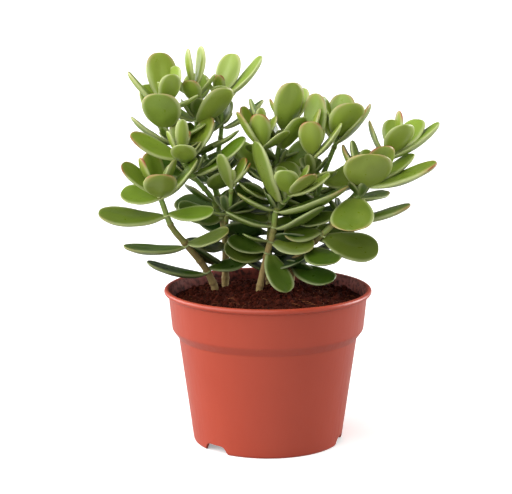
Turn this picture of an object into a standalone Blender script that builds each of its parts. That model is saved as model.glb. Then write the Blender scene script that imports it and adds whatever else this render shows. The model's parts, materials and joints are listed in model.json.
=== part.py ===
"""A jade plant (Crassula ovata) in a moulded plastic nursery pot.

The pot stands on the plane Z = 0 with its axis on Z, and -Y is the side that faces the room.
Six rooted cuttings share the pot, and some of them fork. Every stem carries its leaves in opposite
pairs, each pair turned about a quarter turn from the one below. A pair is grown together round its
stem, and the youngest pairs, at the end of a stem, make one crown.
Tables are in millimetres and degrees, and the model is in metres.
"""

import math
from typing import NamedTuple

import bmesh
import bpy
from mathutils import Matrix, Vector

MM = 0.001

# Pot.
POT_HEIGHT = 90.0
RIM_RADIUS = 60.0
LIP_HEIGHT = 3.6
COLLAR_TOP_RADIUS = 57.4
COLLAR_FOOT_RADIUS = 55.4
COLLAR_FOOT_HEIGHT = 66.0
SHOULDER_RADIUS = 51.6
SHOULDER_HEIGHT = 61.5
FOOT_RADIUS = 43.0
WALL = 1.5
FLOOR_UNDERSIDE = 5.0
FLOOR_TOP = 7.0
POT_SIDES = 48
NOTCH_HEADINGS = (226.0, 346.0, 106.0)
NOTCH_WIDTH = 19.0
NOTCH_TOP_WIDTH = 13.0
NOTCH_HEIGHT = 4.7
NOTCH_REACH = 12.0
DRAIN_COUNT = 6
DRAIN_RADIUS = 4.0
DRAIN_RING = 26.0
DRAIN_SIDES = 12
DRAIN_CUT_DEPTH = 8.0

# Soil.
SOIL_EDGE = 82.5
SOIL_CROWN = 86.5
PLANTING_DEPTH = 20.0
SOCKET_SLACK = 0.3
SOCKET_SIDES = 10

# Clearance between pieces that touch.
GAP = 0.35

# Stems.
STEM_STEP = 7.0
ROUTE_STEPS = 60
SHEATH_THICK = 1.3
SHEATH_SIDES = 8
SHEATH_SECTION_SIDES = 4
FOOT_OVERLAP = 0.2
STEM_TIP_NARROWING = 0.6
CROWN_AXIS_SIDES = 6
CROWN_FOOT = 0.3

# Leaf blades. The widest place is a share of the length.
WIDEST = 0.62
BLADE_FULLNESS = 0.65
CURL = 24.0
CUP = 0.10
BLADE_SIDES = 6
BLADE_RINGS = 5
THICK_SHARE = 0.050
THICK_LEAST = 0.25


class Leaf(NamedTuple):
    """Compass heading (0 is +X, 90 is +Y), rise above level, length, and breadth as a share of it."""

    heading: float
    rise: float
    length: float
    broad: float = 0.58
    roll: float = 0.0


class Pair(NamedTuple):
    """Two opposite leaves at a height: above Z = 0 on a stem, above the crown's foot in a crown."""

    height: float
    leaves: tuple


class Shoot(NamedTuple):
    """A stem's route, its radii at the foot and the end, its leaf pairs and its crown."""

    name: str
    parent: str
    route: tuple
    radii: tuple
    pairs: tuple
    crown_height: float
    crown: tuple


SHOOTS = (
    Shoot(
        "left_back", "",
        ((-25, 26, 87), (-25, 25, 113), (-28, 22, 134), (-34, 17, 156), (-40, 14, 175), (-41, 12, 193)),
        (2.3, 1.5),
        (
            Pair(107, (Leaf(330, -4, 22, 0.70, 25), Leaf(150, 10, 24, 0.66))),
            Pair(127, (Leaf(205, 20, 26, 0.70, -35), Leaf(20, 12, 26, 0.70, 35))),
            Pair(146, (Leaf(284, 30, 24, 0.70), Leaf(85, 20, 28, 0.70, 20))),
            Pair(168, (Leaf(348, 30, 22, 0.56), Leaf(120, 15, 28, 0.70))),
            Pair(185, (Leaf(316, 46, 29, 0.68, -10), Leaf(156, 28, 28, 0.58))),
        ),
        14.0,
        (
            Pair(2.5, (Leaf(250, 50, 18, 0.66), Leaf(90, 34, 26, 0.62))),
            Pair(6.0, (Leaf(350, 50, 17, 0.50), Leaf(168, 40, 28, 0.50))),
            Pair(11.0, (Leaf(200, 80, 23, 0.42), Leaf(30, 82, 24, 0.42))),
        ),
    ),
    Shoot(
        "left_far", "left_back",
        ((-32, 19, 150), (-29, 22, 165), (-27, 22, 179), (-27, 21, 192)),
        (1.5, 1.2),
        (
            Pair(180, (Leaf(6, 36, 27, 0.46), Leaf(172, 24, 20, 0.66))),
        ),
        8.0,
        (
            Pair(2.0, (Leaf(270, 42, 17, 0.70), Leaf(80, 30, 24, 0.66))),
            Pair(4.5, (Leaf(5, 46, 34, 0.44, 10), Leaf(190, 56, 15, 0.60))),
            Pair(7.0, (Leaf(62, 62, 26, 0.60), Leaf(250, 66, 13, 0.60))),
        ),
    ),
    Shoot(
        "left_top", "left_back",
        ((-30, 20, 141), (-40, 10, 158), (-51, 3, 171), (-58, -2, 182), (-58, -2, 190)),
        (1.6, 1.3),
        (
            Pair(175, (Leaf(192, 36, 27, 0.52), Leaf(0, 28, 18, 0.54))),
            Pair(184, (Leaf(265, 54, 25, 0.88), Leaf(118, 46, 30, 0.52))),
        ),
        10.0,
        (
            Pair(3.0, (Leaf(186, 46, 30, 0.50), Leaf(353, 24, 20, 0.60))),
            Pair(6.0, (Leaf(292, 62, 20, 0.66), Leaf(106, 72, 30, 0.60))),
            Pair(8.5, (Leaf(40, 68, 20, 0.70), Leaf(200, 68, 11, 0.60))),
        ),
    ),
    Shoot(
        "left_mid", "left_back",
        ((-27, 23, 127), (-33, 12, 141), (-41, -1, 153), (-46, -7, 162)),
        (1.6, 1.3),
        (
            Pair(155, (Leaf(12, 38, 34, 0.52, 10), Leaf(151, 19, 26, 0.66, -20))),
        ),
        9.0,
        (
            Pair(2.5, (Leaf(271, 34, 22, 0.66), Leaf(44, 50, 31, 0.48))),
            Pair(5.5, (Leaf(194, 28, 33, 0.46, -35), Leaf(10, 42, 14, 0.50))),
            Pair(8.0, (Leaf(103, 68, 21, 0.47), Leaf(285, 76, 22, 0.36))),
            Pair(8.6, (Leaf(207, 62, 16, 0.46), Leaf(20, 66, 14, 0.44))),
        ),
    ),
    Shoot(
        "left_front", "",
        ((-31, 16, 87), (-37, 10, 100), (-47, 0, 115), (-55, -8, 127), (-60, -13, 142)),
        (2.3, 1.6),
        (
            Pair(97, (Leaf(199, 15, 34, 0.42, -10), Leaf(15, 10, 22, 0.62, 20))),
            Pair(115, (Leaf(197, 4, 34, 0.46, -8), Leaf(345, 20, 24, 0.62, 25))),
            Pair(134, (Leaf(189, 4, 36, 0.50, -24), Leaf(347, 8, 25, 0.56, 28))),
        ),
        8.0,
        (
            Pair(2.0, (Leaf(353, 48, 31, 0.52, 15), Leaf(168, 8, 23, 0.72, -30))),
            Pair(3.5, (Leaf(273, 38, 25, 0.76), Leaf(115, 55, 28, 0.50))),
            Pair(6.0, (Leaf(184, 42, 26, 0.66, -25), Leaf(334, 62, 22, 0.42))),
            Pair(7.5, (Leaf(209, 62, 22, 0.44), Leaf(30, 60, 16, 0.50))),
        ),
    ),
    Shoot(
        "centre_left", "left_back",
        ((-25, 25, 114), (-24, 12, 127), (-22, 2, 137), (-21, -4, 147)),
        (1.5, 1.2),
        (
            Pair(132, (Leaf(204, 18, 17, 0.50), Leaf(30, 10, 17, 0.60))),
        ),
        6.0,
        (
            Pair(1.5, (Leaf(238, 66, 23, 0.40), Leaf(35, 66, 15, 0.52))),
            Pair(4.5, (Leaf(0, 50, 16, 0.46), Leaf(154, 66, 11, 0.46))),
            Pair(5.5, (Leaf(30, 60, 16, 0.62), Leaf(270, 60, 10, 0.5))),
        ),
    ),
    Shoot(
        "centre_back", "",
        ((1, 24, 87), (1, 19, 114), (3, 14, 139), (5, 11, 162), (8, 8, 178)),
        (2.2, 1.4),
        (
            Pair(110, (Leaf(215, 2, 28, 0.72, -35), Leaf(35, 10, 26, 0.70, 20))),
            Pair(126, (Leaf(171, 30, 30, 0.72, -35), Leaf(335, 4, 28, 0.64, 35))),
            Pair(142, (Leaf(75, 24, 30, 0.72), Leaf(221, 24, 26, 0.70, -30))),
            Pair(157, (Leaf(10, 40, 26, 0.72, 35), Leaf(175, 34, 26, 0.70, -35))),
            Pair(171, (Leaf(178, 62, 30, 0.46), Leaf(310, 52, 24, 0.66))),
        ),
        8.0,
        (
            Pair(3.0, (Leaf(290, 64, 31, 0.58), Leaf(40, 56, 27, 0.66))),
            Pair(6.5, (Leaf(190, 60, 16, 0.56), Leaf(350, 62, 18, 0.56))),
        ),
    ),
    Shoot(
        "centre_mid", "centre_back",
        ((4, 13, 148), (0, 5, 158), (-2, 1, 168)),
        (1.3, 1.1),
        (),
        8.0,
        (
            Pair(2.5, (Leaf(199, 54, 27, 0.48), Leaf(318, 34, 21, 0.62))),
            Pair(4.5, (Leaf(256, 66, 21, 0.60), Leaf(147, 56, 26, 0.48))),
            Pair(7.5, (Leaf(106, 80, 19, 0.36), Leaf(20, 60, 16, 0.56))),
        ),
    ),
    Shoot(
        "centre_front", "",
        ((-5, 6, 87), (-1, 2, 107), (3, -2, 123), (5, -7, 137), (11, -14, 145)),
        (2.1, 1.6),
        (
            Pair(110, (Leaf(300, -42, 27, 0.60), Leaf(155, 16, 22, 0.66, -25))),
            Pair(117, (Leaf(342, 2, 23, 0.66, 40), Leaf(205, 20, 15, 0.60))),
            Pair(126, (Leaf(330, 28, 32, 0.48), Leaf(186, 20, 26, 0.50))),
            Pair(136, (Leaf(348, 23, 42, 0.42), Leaf(191, 28, 22, 0.50))),
            Pair(142, (Leaf(203, 69, 37, 0.58), Leaf(84, 46, 26, 0.66))),
        ),
        7.0,
        (
            Pair(2.0, (Leaf(262, 50, 21, 0.70), Leaf(344, 28, 26, 0.56, 15))),
            Pair(4.2, (Leaf(305, 36, 22, 0.66), Leaf(120, 46, 18, 0.60))),
            Pair(5.6, (Leaf(15, 60, 17, 0.60), Leaf(195, 60, 14, 0.56))),
        ),
    ),
    Shoot(
        "right_back", "",
        ((13, 23, 87), (19, 19, 111), (27, 14, 136), (33, 10, 157), (38, 9, 170)),
        (2.2, 1.4),
        (
            Pair(120, (Leaf(0, 0, 26, 0.72, 35), Leaf(147, 5, 24, 0.70))),
            Pair(134, (Leaf(80, 15, 28, 0.72), Leaf(222, 21, 24, 0.70))),
            Pair(151, (Leaf(350, 20, 27, 0.74, 40), Leaf(152, 30, 26, 0.70, -35))),
        ),
        10.0,
        (
            Pair(2.5, (Leaf(140, 70, 28, 0.48), Leaf(350, 50, 30, 0.58))),
            Pair(6.5, (Leaf(292, 50, 28, 0.76), Leaf(75, 65, 26, 0.62))),
            Pair(9.0, (Leaf(180, 60, 15, 0.60), Leaf(15, 60, 17, 0.66))),
        ),
    ),
    Shoot(
        "right_mid", "right_back",
        ((28, 14, 139), (26, 5, 151), (25, -1, 163)),
        (1.4, 1.2),
        (
            Pair(154, (Leaf(296, 20, 20, 0.66), Leaf(98, 32, 20, 0.66))),
        ),
        7.0,
        (
            Pair(2.0, (Leaf(180, 100, 29, 0.40), Leaf(335, 50, 28, 0.50, 20))),
            Pair(5.0, (Leaf(266, 62, 23, 0.62), Leaf(70, 76, 35, 0.40))),
            Pair(6.0, (Leaf(30, 60, 15, 0.56), Leaf(205, 64, 12, 0.5))),
        ),
    ),
    Shoot(
        "right_front", "",
        ((7, 9, 87), (10, 8, 97), (18, 4, 108), (32, -2, 122), (44, -6, 135), (54, -8, 148)),
        (2.2, 1.5),
        (
            Pair(103, (Leaf(324, -10, 27, 0.62, 25), Leaf(112, 10, 20, 0.54))),
            Pair(114, (Leaf(302, -10, 24, 0.80, 15), Leaf(144, -4, 22, 0.66))),
            Pair(121, (Leaf(354, -12, 31, 0.78, 32), Leaf(190, -2, 20, 0.66, -30))),
            Pair(131, (Leaf(356, 16, 40, 0.40, 5), Leaf(170, -11, 22, 0.66, -25))),
            Pair(143, (Leaf(258, -32, 27, 0.92), Leaf(50, 4, 26, 0.58))),
        ),
        8.0,
        (
            Pair(1.0, (Leaf(275, 50, 29, 0.96), Leaf(95, 52, 24, 0.60))),
            Pair(2.5, (Leaf(354, 20, 42, 0.42, 10), Leaf(176, 60, 27, 0.50))),
            Pair(4.5, (Leaf(26, 28, 33, 0.44), Leaf(160, 68, 26, 0.50))),
            Pair(7.5, (Leaf(303, 60, 24, 0.86), Leaf(120, 64, 18, 0.60))),
        ),
    ),
    Shoot(
        "right_far", "right_front",
        ((33, -2, 123), (45, 7, 137), (58, 8, 152), (66, 5, 162)),
        (1.5, 1.2),
        (),
        10.0,
        (
            Pair(2.5, (Leaf(9, 34, 37, 0.44), Leaf(180, 66, 24, 0.60))),
            Pair(6.0, (Leaf(296, 50, 25, 0.74), Leaf(40, 40, 29, 0.70))),
            Pair(9.0, (Leaf(100, 74, 18, 0.66), Leaf(30, 80, 23, 0.36))),
        ),
    ),
)


def clear_scene():
    for thing in list(bpy.data.objects):
        bpy.data.objects.remove(thing, do_unlink=True)


def collection(name):
    group = bpy.data.collections.new(name)
    bpy.context.scene.collection.children.link(group)
    return group


def paint(name, colour, roughness):
    """A plain Principled material."""
    material = bpy.data.materials.new(name)
    material.use_nodes = True
    surface = material.node_tree.nodes["Principled BSDF"]
    surface.inputs["Base Color"].default_value = (*colour, 1.0)
    surface.inputs["Roughness"].default_value = roughness
    surface.inputs["Metallic"].default_value = 0.0
    return material


def add_object(name, mesh, group, material=None):
    thing = bpy.data.objects.new(name, mesh)
    group.objects.link(thing)
    if material:
        mesh.materials.clear()
        mesh.materials.append(material)
    return thing


def mesh_from(bm, name):
    mesh = bpy.data.meshes.new(name)
    bm.to_mesh(mesh)
    bm.free()
    return mesh


def evaluated_mesh(thing):
    """The object's mesh with its modifiers applied, as new data."""
    graph = bpy.context.evaluated_depsgraph_get()
    return bpy.data.meshes.new_from_object(thing.evaluated_get(graph))


def cone(name, foot_radius, end_radius, depth, place, sides, group):
    """A closed cone or cylinder whose middle is placed by the matrix."""
    bm = bmesh.new()
    bmesh.ops.create_cone(
        bm, cap_ends=True, segments=sides, radius1=foot_radius * MM, radius2=end_radius * MM,
        depth=depth * MM, matrix=place,
    )
    return add_object(name, mesh_from(bm, name), group)


def boolean(thing, other, operation, solver="EXACT"):
    step = thing.modifiers.new(other.name, "BOOLEAN")
    step.operation = operation
    step.solver = solver
    step.object = other


def hide(thing):
    thing.hide_render = True
    thing.display_type = "WIRE"


def turned(name, outline, sides, group, material):
    """A solid turned about Z from an outline that runs down its outer side."""
    bm = bmesh.new()
    corners = [bm.verts.new((radius * MM, 0.0, height * MM)) for radius, height in outline]
    for one, two in zip(corners, corners[1:]):
        bm.edges.new((one, two))
    thing = add_object(name, mesh_from(bm, name), group, material)
    screw = thing.modifiers.new("Turn", "SCREW")
    screw.axis = "Z"
    screw.steps = sides
    screw.render_steps = sides
    screw.use_merge_vertices = True
    screw.merge_threshold = 0.00001
    screw.use_normal_calculate = False
    return thing


# Pot and soil.


def pot_outline():
    """Inside floor, inside wall, lip, outside wall, foot ring, underside."""
    lip_base = POT_HEIGHT - LIP_HEIGHT
    return (
        (0.0, FLOOR_TOP),
        (FOOT_RADIUS - WALL - 1.2, FLOOR_TOP),
        (FOOT_RADIUS - WALL + 0.6, FLOOR_TOP + 1.6),
        (SHOULDER_RADIUS - WALL, SHOULDER_HEIGHT + 0.6),
        (COLLAR_FOOT_RADIUS - WALL, COLLAR_FOOT_HEIGHT + 0.6),
        (COLLAR_TOP_RADIUS - WALL, lip_base),
        (COLLAR_TOP_RADIUS - 0.6, POT_HEIGHT - 0.7),
        (RIM_RADIUS - 1.6, POT_HEIGHT),
        (RIM_RADIUS - 0.4, POT_HEIGHT - 0.6),
        (RIM_RADIUS, POT_HEIGHT - 1.7),
        (RIM_RADIUS - 0.4, POT_HEIGHT - 2.9),
        (COLLAR_TOP_RADIUS, lip_base),
        (COLLAR_FOOT_RADIUS, COLLAR_FOOT_HEIGHT + 0.8),
        (COLLAR_FOOT_RADIUS - 0.8, COLLAR_FOOT_HEIGHT - 0.5),
        (SHOULDER_RADIUS + 0.5, SHOULDER_HEIGHT + 0.7),
        (SHOULDER_RADIUS, SHOULDER_HEIGHT),
        (FOOT_RADIUS + 0.2, 1.0),
        (FOOT_RADIUS - 0.5, 0.0),
        (FOOT_RADIUS - WALL, 0.0),
        (FOOT_RADIUS - WALL, FLOOR_UNDERSIDE),
        (0.0, FLOOR_UNDERSIDE),
    )


def make_pot(parts, cutters, material):
    pot = turned("pot", pot_outline(), POT_SIDES, parts, material)
    for number, heading in enumerate(NOTCH_HEADINGS, start=1):
        turn = Matrix.Rotation(math.radians(heading), 4, "Z")
        bm = bmesh.new()
        bmesh.ops.create_cube(bm, size=1.0)
        for corner in bm.verts:
            width = NOTCH_TOP_WIDTH if corner.co.z > 0 else NOTCH_WIDTH
            height = NOTCH_HEIGHT if corner.co.z > 0 else -1.0
            corner.co = Vector((
                (FOOT_RADIUS + corner.co.x * NOTCH_REACH) * MM,
                corner.co.y * width * MM,
                height * MM,
            ))
        bmesh.ops.transform(bm, matrix=turn, verts=bm.verts)
        notch = add_object(f"cut_notch_{number}", mesh_from(bm, "notch"), cutters)
        hide(notch)
        boolean(pot, notch, "DIFFERENCE")
    for number in range(DRAIN_COUNT):
        angle = math.tau * number / DRAIN_COUNT
        middle = Vector((DRAIN_RING * math.cos(angle), DRAIN_RING * math.sin(angle), FLOOR_TOP)) * MM
        hole = cone(
            f"cut_drain_{number + 1}",
            DRAIN_RADIUS,
            DRAIN_RADIUS,
            DRAIN_CUT_DEPTH,
            Matrix.Translation(middle),
            DRAIN_SIDES,
            cutters,
        )
        hide(hole)
        boolean(pot, hole, "DIFFERENCE")
    return pot


def make_soil(parts, cutters, material):
    """Peat that fills the pot, low at its edge, with a socket for each rooted stem."""
    slope = (SHOULDER_RADIUS - FOOT_RADIUS) / SHOULDER_HEIGHT
    edge = COLLAR_TOP_RADIUS - WALL - GAP - 0.4
    outline = (
        (0.0, SOIL_CROWN),
        (24.0, SOIL_CROWN - 0.5),
        (42.0, SOIL_CROWN - 2.0),
        (edge - 0.8, SOIL_EDGE),
        (COLLAR_FOOT_RADIUS - WALL - GAP, COLLAR_FOOT_HEIGHT + 0.6),
        (SHOULDER_RADIUS - WALL - GAP - 0.1, SHOULDER_HEIGHT + 0.3),
        (FOOT_RADIUS - WALL - 1.5 + slope * FLOOR_TOP, FLOOR_TOP + 3.0),
        (FOOT_RADIUS - WALL - 2.5, FLOOR_TOP + GAP),
        (0.0, FLOOR_TOP + GAP),
    )
    soil = turned("soil", outline, POT_SIDES, parts, material)
    for shoot in SHOOTS:
        if shoot.parent:
            continue
        radius = shoot.radii[0] + GAP + SOCKET_SLACK
        middle = Matrix.Translation(Vector(shoot.route[0]) * MM)
        depth = 2.0 * PLANTING_DEPTH
        socket = cone(f"cut_socket_{shoot.name}", radius, radius, depth, middle, SOCKET_SIDES, cutters)
        hide(socket)
        boolean(soil, socket, "DIFFERENCE")
    return soil


# Stems.


def spline_point(points, share):
    """A point on the smooth curve through the points; the share counts spans from the first."""
    span = min(int(share), len(points) - 2)
    step = share - span
    before = points[max(span - 1, 0)]
    start = points[span]
    end = points[span + 1]
    after = points[min(span + 2, len(points) - 1)]
    return 0.5 * (
        2.0 * start
        + (end - before) * step
        + (2.0 * before - 5.0 * start + 4.0 * end - after) * step**2
        + (3.0 * start - before - 3.0 * end + after) * step**3
    )


class Stem:
    """The route of one stem, as evenly spaced places with a radius at each."""

    def __init__(self, shoot, parent):
        corners = [Vector(corner) for corner in shoot.route]
        steps = ROUTE_STEPS * (len(corners) - 1)
        fine = [spline_point(corners, number / ROUTE_STEPS) for number in range(steps + 1)]
        if parent:
            fine = self.clear_of(parent, fine, shoot.radii[0])
        else:
            fine.insert(0, fine[0] - Vector((0.0, 0.0, PLANTING_DEPTH - 1.0)))
        lengths = [0.0]
        for one, two in zip(fine, fine[1:]):
            lengths.append(lengths[-1] + (two - one).length)
        self.fine = fine
        self.lengths = lengths
        self.radii = shoot.radii

    @staticmethod
    def clear_of(parent, fine, radius):
        """Drops the part of a fork's route that lies inside its parent."""
        for number, point in enumerate(fine[:-1]):
            ahead = (fine[number + 1] - point).normalized()
            near, along, thick = parent.nearest(point)
            if (point - near).length > thick + GAP + radius * abs(ahead.dot(along)):
                return fine[number:]
        raise ValueError("a fork never leaves its parent stem")

    def nearest(self, point):
        gaps = [(place - point).length for place in self.fine[:-1]]
        index = gaps.index(min(gaps))
        along = (self.fine[index + 1] - self.fine[index]).normalized()
        near = self.fine[index] + along * (point - self.fine[index]).dot(along)
        return near, along, self.radius_at(self.lengths[index])

    def radius_at(self, length):
        share = length / self.lengths[-1]
        return self.radii[0] + (self.radii[1] - self.radii[0]) * share

    def place_at(self, length):
        """Point, direction and radius at a distance from the foot."""
        index = 0
        while index < len(self.lengths) - 2 and self.lengths[index + 1] < length:
            index += 1
        along = (self.fine[index + 1] - self.fine[index]).normalized()
        return self.fine[index] + along * (length - self.lengths[index]), along, self.radius_at(length)

    def place_at_height(self, height):
        index = 0
        while index < len(self.fine) - 2 and self.fine[index + 1].z < height:
            index += 1
        rise = self.fine[index + 1].z - self.fine[index].z
        part = (height - self.fine[index].z) / rise
        length = self.lengths[index] + part * (self.lengths[index + 1] - self.lengths[index])
        return self.place_at(length)

    def end(self):
        return self.place_at(self.lengths[-1])


def make_stem(shoot, stem, parts, material):
    name = f"stem_{shoot.name}"
    steps = max(2, round(stem.lengths[-1] / STEM_STEP))
    places = [stem.place_at(stem.lengths[-1] * number / steps) for number in range(steps + 1)]
    curve = bpy.data.curves.new(name, "CURVE")
    curve.dimensions = "3D"
    curve.bevel_depth = MM
    curve.bevel_resolution = 2
    curve.use_fill_caps = True
    spline = curve.splines.new("POLY")
    spline.points.add(len(places) - 1)
    for point, (where, _, radius) in zip(spline.points, places):
        point.co = (*(where * MM), 1.0)
        point.radius = radius
    tube = bpy.data.objects.new("tube", curve)
    parts.objects.link(tube)
    mesh = evaluated_mesh(tube)
    bpy.data.objects.remove(tube, do_unlink=True)
    bm = bmesh.new()
    bm.from_mesh(mesh)
    bmesh.ops.remove_doubles(bm, verts=bm.verts, dist=0.00001)
    bm.to_mesh(mesh)
    bm.free()
    return add_object(name, mesh, parts, material)


# Leaves.


def blade_half_width(leaf, share):
    """Obovate outline: narrow at the foot, widest past the middle, round at the tip."""
    tip_power = BLADE_FULLNESS * (1.0 - WIDEST) / WIDEST
    peak = WIDEST**BLADE_FULLNESS * (1.0 - WIDEST) ** tip_power
    outline = share**BLADE_FULLNESS * (1.0 - share) ** tip_power / peak
    return 0.5 * leaf.length * leaf.broad * outline


def blade_middle(leaf, share):
    """The middle line of a blade that curls upward, as distance out and distance up."""
    curl = math.radians(CURL)
    start = math.radians(leaf.rise) - 0.5 * curl
    angle = start + curl * share
    bow = leaf.length / curl
    return bow * (math.sin(angle) - math.sin(start)), bow * (math.cos(start) - math.cos(angle)), angle


def make_blade(leaf, foot, group):
    """A leaf blade shaped from a coarse sphere; the foot is its attached end in millimetres."""
    bm = bmesh.new()
    bmesh.ops.create_uvsphere(bm, u_segments=BLADE_SIDES, v_segments=BLADE_RINGS, radius=1.0)
    half_thick = THICK_SHARE * leaf.length + THICK_LEAST
    heading = Matrix.Rotation(math.radians(leaf.heading), 3, "Z")
    roll = math.radians(leaf.roll)
    for corner in bm.verts:
        share = 0.5 * (1.0 - corner.co.z)
        ring = math.hypot(corner.co.x, corner.co.y)
        side = corner.co.x / ring if ring > 0.001 else 0.0
        face = corner.co.y / ring if ring > 0.001 else 0.0
        width = blade_half_width(leaf, min(max(share, 0.0), 1.0))
        across = side * width
        lift = face * ring * half_thick + CUP * width * side**2
        out, up, angle = blade_middle(leaf, share)
        across, lift = (
            across * math.cos(roll) - lift * math.sin(roll),
            across * math.sin(roll) + lift * math.cos(roll),
        )
        local = Vector((out - lift * math.sin(angle), across, up + lift * math.cos(angle)))
        corner.co = (foot + heading @ local) * MM
    bmesh.ops.reverse_faces(bm, faces=bm.faces)
    return add_object("blade", mesh_from(bm, "blade"), group)


def leaf_foot(centre, along, distance, heading):
    """The point of a sheath or a crown's axis that faces the heading."""
    facing = Vector((math.cos(math.radians(heading)), math.sin(math.radians(heading)), 0.0))
    sideways = (facing - along * facing.dot(along)).normalized()
    return centre + sideways * distance


def unite(name, pieces, group, material):
    """One closed solid out of pieces that run into each other."""
    base = pieces[0]
    for piece in pieces[1:]:
        boolean(base, piece, "UNION", "MANIFOLD")
    mesh = evaluated_mesh(base)
    for piece in pieces:
        bpy.data.objects.remove(piece, do_unlink=True)
    return add_object(name, mesh, group, material)


def make_pair(name, pair, stem, parts, cutters, material):
    """Two leaves grown together in a sheath round the stem."""
    centre, along, radius = stem.place_at_height(pair.height)
    inner = (radius + GAP) / math.cos(math.pi / SHEATH_SIDES)
    middle = inner + SHEATH_THICK
    bpy.ops.mesh.primitive_torus_add(
        major_segments=SHEATH_SIDES,
        minor_segments=SHEATH_SECTION_SIDES,
        major_radius=middle * MM,
        minor_radius=SHEATH_THICK * MM,
    )
    sheath = bpy.context.object
    for group in sheath.users_collection:
        group.objects.unlink(sheath)
    cutters.objects.link(sheath)
    turn = along.to_track_quat("Z", "Y").to_matrix().to_4x4()
    sheath.data.transform(Matrix.Translation(centre * MM) @ turn)
    pieces = [sheath]
    for leaf in pair.leaves:
        foot = leaf_foot(centre, along, middle - FOOT_OVERLAP, leaf.heading)
        pieces.append(make_blade(leaf, foot, cutters))
    return unite(name, pieces, parts, material)


def make_crown(shoot, stem, parts, cutters, material):
    """The youngest pairs on the soft end of the stem."""
    top, along, radius = stem.end()
    start = top + along * GAP
    turn = along.to_track_quat("Z", "Y").to_matrix().to_4x4()
    middle = start + along * 0.5 * shoot.crown_height
    axis = cone(
        "axis",
        radius,
        STEM_TIP_NARROWING * radius,
        shoot.crown_height,
        Matrix.Translation(middle * MM) @ turn,
        CROWN_AXIS_SIDES,
        cutters,
    )
    pieces = [axis]
    for pair in shoot.crown:
        for leaf in pair.leaves:
            foot = leaf_foot(start + along * pair.height, along, CROWN_FOOT * radius, leaf.heading)
            pieces.append(make_blade(leaf, foot, cutters))
    return unite(f"crown_{shoot.name}", pieces, parts, material)


def main():
    clear_scene()
    parts = collection("potted_jade_plant")
    cutters = collection("cutters")
    terracotta = paint("terracotta plastic", (0.42, 0.08, 0.045), 0.38)
    peat = paint("peat soil", (0.045, 0.018, 0.012), 0.95)
    bark = paint("jade stem", (0.20, 0.22, 0.07), 0.6)
    green = paint("jade leaf", (0.16, 0.30, 0.05), 0.35)
    make_pot(parts, cutters, terracotta)
    make_soil(parts, cutters, peat)
    stems = {}
    for shoot in SHOOTS:
        stem = Stem(shoot, stems.get(shoot.parent))
        stems[shoot.name] = stem
        make_stem(shoot, stem, parts, bark)
        for number, pair in enumerate(shoot.pairs, start=1):
            make_pair(f"leaves_{shoot.name}_{number}", pair, stem, parts, cutters, green)
        make_crown(shoot, stem, parts, cutters, green)


main()
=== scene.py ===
import json
import math
import random
from functools import partial
from typing import NamedTuple

import bmesh
import bpy
from bpy.props import FloatProperty, FloatVectorProperty, IntProperty, PointerProperty
from mathutils import Matrix, Vector

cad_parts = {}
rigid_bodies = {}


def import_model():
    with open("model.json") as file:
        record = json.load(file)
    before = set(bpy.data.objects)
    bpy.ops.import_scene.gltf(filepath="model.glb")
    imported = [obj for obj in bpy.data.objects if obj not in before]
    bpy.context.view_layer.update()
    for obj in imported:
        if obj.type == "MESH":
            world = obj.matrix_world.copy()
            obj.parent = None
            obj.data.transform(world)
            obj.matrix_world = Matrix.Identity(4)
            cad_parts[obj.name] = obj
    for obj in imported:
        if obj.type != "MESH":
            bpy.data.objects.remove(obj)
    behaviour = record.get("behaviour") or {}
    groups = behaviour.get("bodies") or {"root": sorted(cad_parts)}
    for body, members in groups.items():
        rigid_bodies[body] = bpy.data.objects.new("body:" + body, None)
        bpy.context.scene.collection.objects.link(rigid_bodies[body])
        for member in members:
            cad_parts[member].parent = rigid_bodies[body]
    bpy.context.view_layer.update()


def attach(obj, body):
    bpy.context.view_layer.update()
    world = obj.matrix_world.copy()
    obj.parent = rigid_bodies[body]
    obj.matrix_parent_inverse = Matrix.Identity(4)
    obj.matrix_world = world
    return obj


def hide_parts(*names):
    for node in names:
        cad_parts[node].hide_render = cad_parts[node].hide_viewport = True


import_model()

bl_info = {
    "name": "Potted Jade Plant",
    "version": (1, 0, 0),
    "blender": (4, 5, 0),
    "location": "View3D > Sidebar > Jade Plant",
    "description": "Builds a jade plant in a moulded nursery pot around its CAD frame",
    "category": "Object",
}

# The CAD model's box, before any piece is added.
BODY = "root"
MM = 0.001

# Pot, in millimetres.
POT_HEIGHT = 90.0
RIM_RADIUS = 60.0
LIP_HEIGHT = 3.6
COLLAR_TOP_RADIUS = 57.4
COLLAR_FOOT_RADIUS = 55.4
COLLAR_FOOT_HEIGHT = 66.0
SHOULDER_RADIUS = 51.6
SHOULDER_HEIGHT = 61.5
FOOT_RADIUS = 43.0
WALL = 1.5
FLOOR_UNDERSIDE = 5.0
FLOOR_TOP = 7.0
POT_SIDES = 192
NOTCH_HEADINGS = (226.0, 346.0, 106.0)
NOTCH_WIDTH = 19.0
NOTCH_TOP_WIDTH = 13.0
NOTCH_HEIGHT = 4.7
NOTCH_REACH = 12.0
NOTCH_CORNER = 2.0
DRAIN_COUNT = 6
DRAIN_RADIUS = 4.0
DRAIN_RING = 26.0
DRAIN_DEPTH = 8.0
# Moulded corners sharper than this show as an edge.
SHARP_ANGLE = 38.0

# Soil, in millimetres.
SOIL_EDGE = 82.5
SOIL_RADIUS = 55.4
SOIL_CROWN = 86.5
SOIL_STEPS = 70
PLANTING_DEPTH = 20.0
GAP = 0.35

# Stems, in millimetres.
ROUTE_STEPS = 60
SHEATH_THICK = 1.3
SHEATH_SIDES = 8
BARK_RELIEF = 0.3
# How a stem's tip tapers inside its crown: shares of the crown's height and of the radius.
TIP_TAPER = ((0.25, 0.92), (0.5, 0.82), (0.75, 0.7), (0.92, 0.5), (1.0, 0.2))
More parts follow.
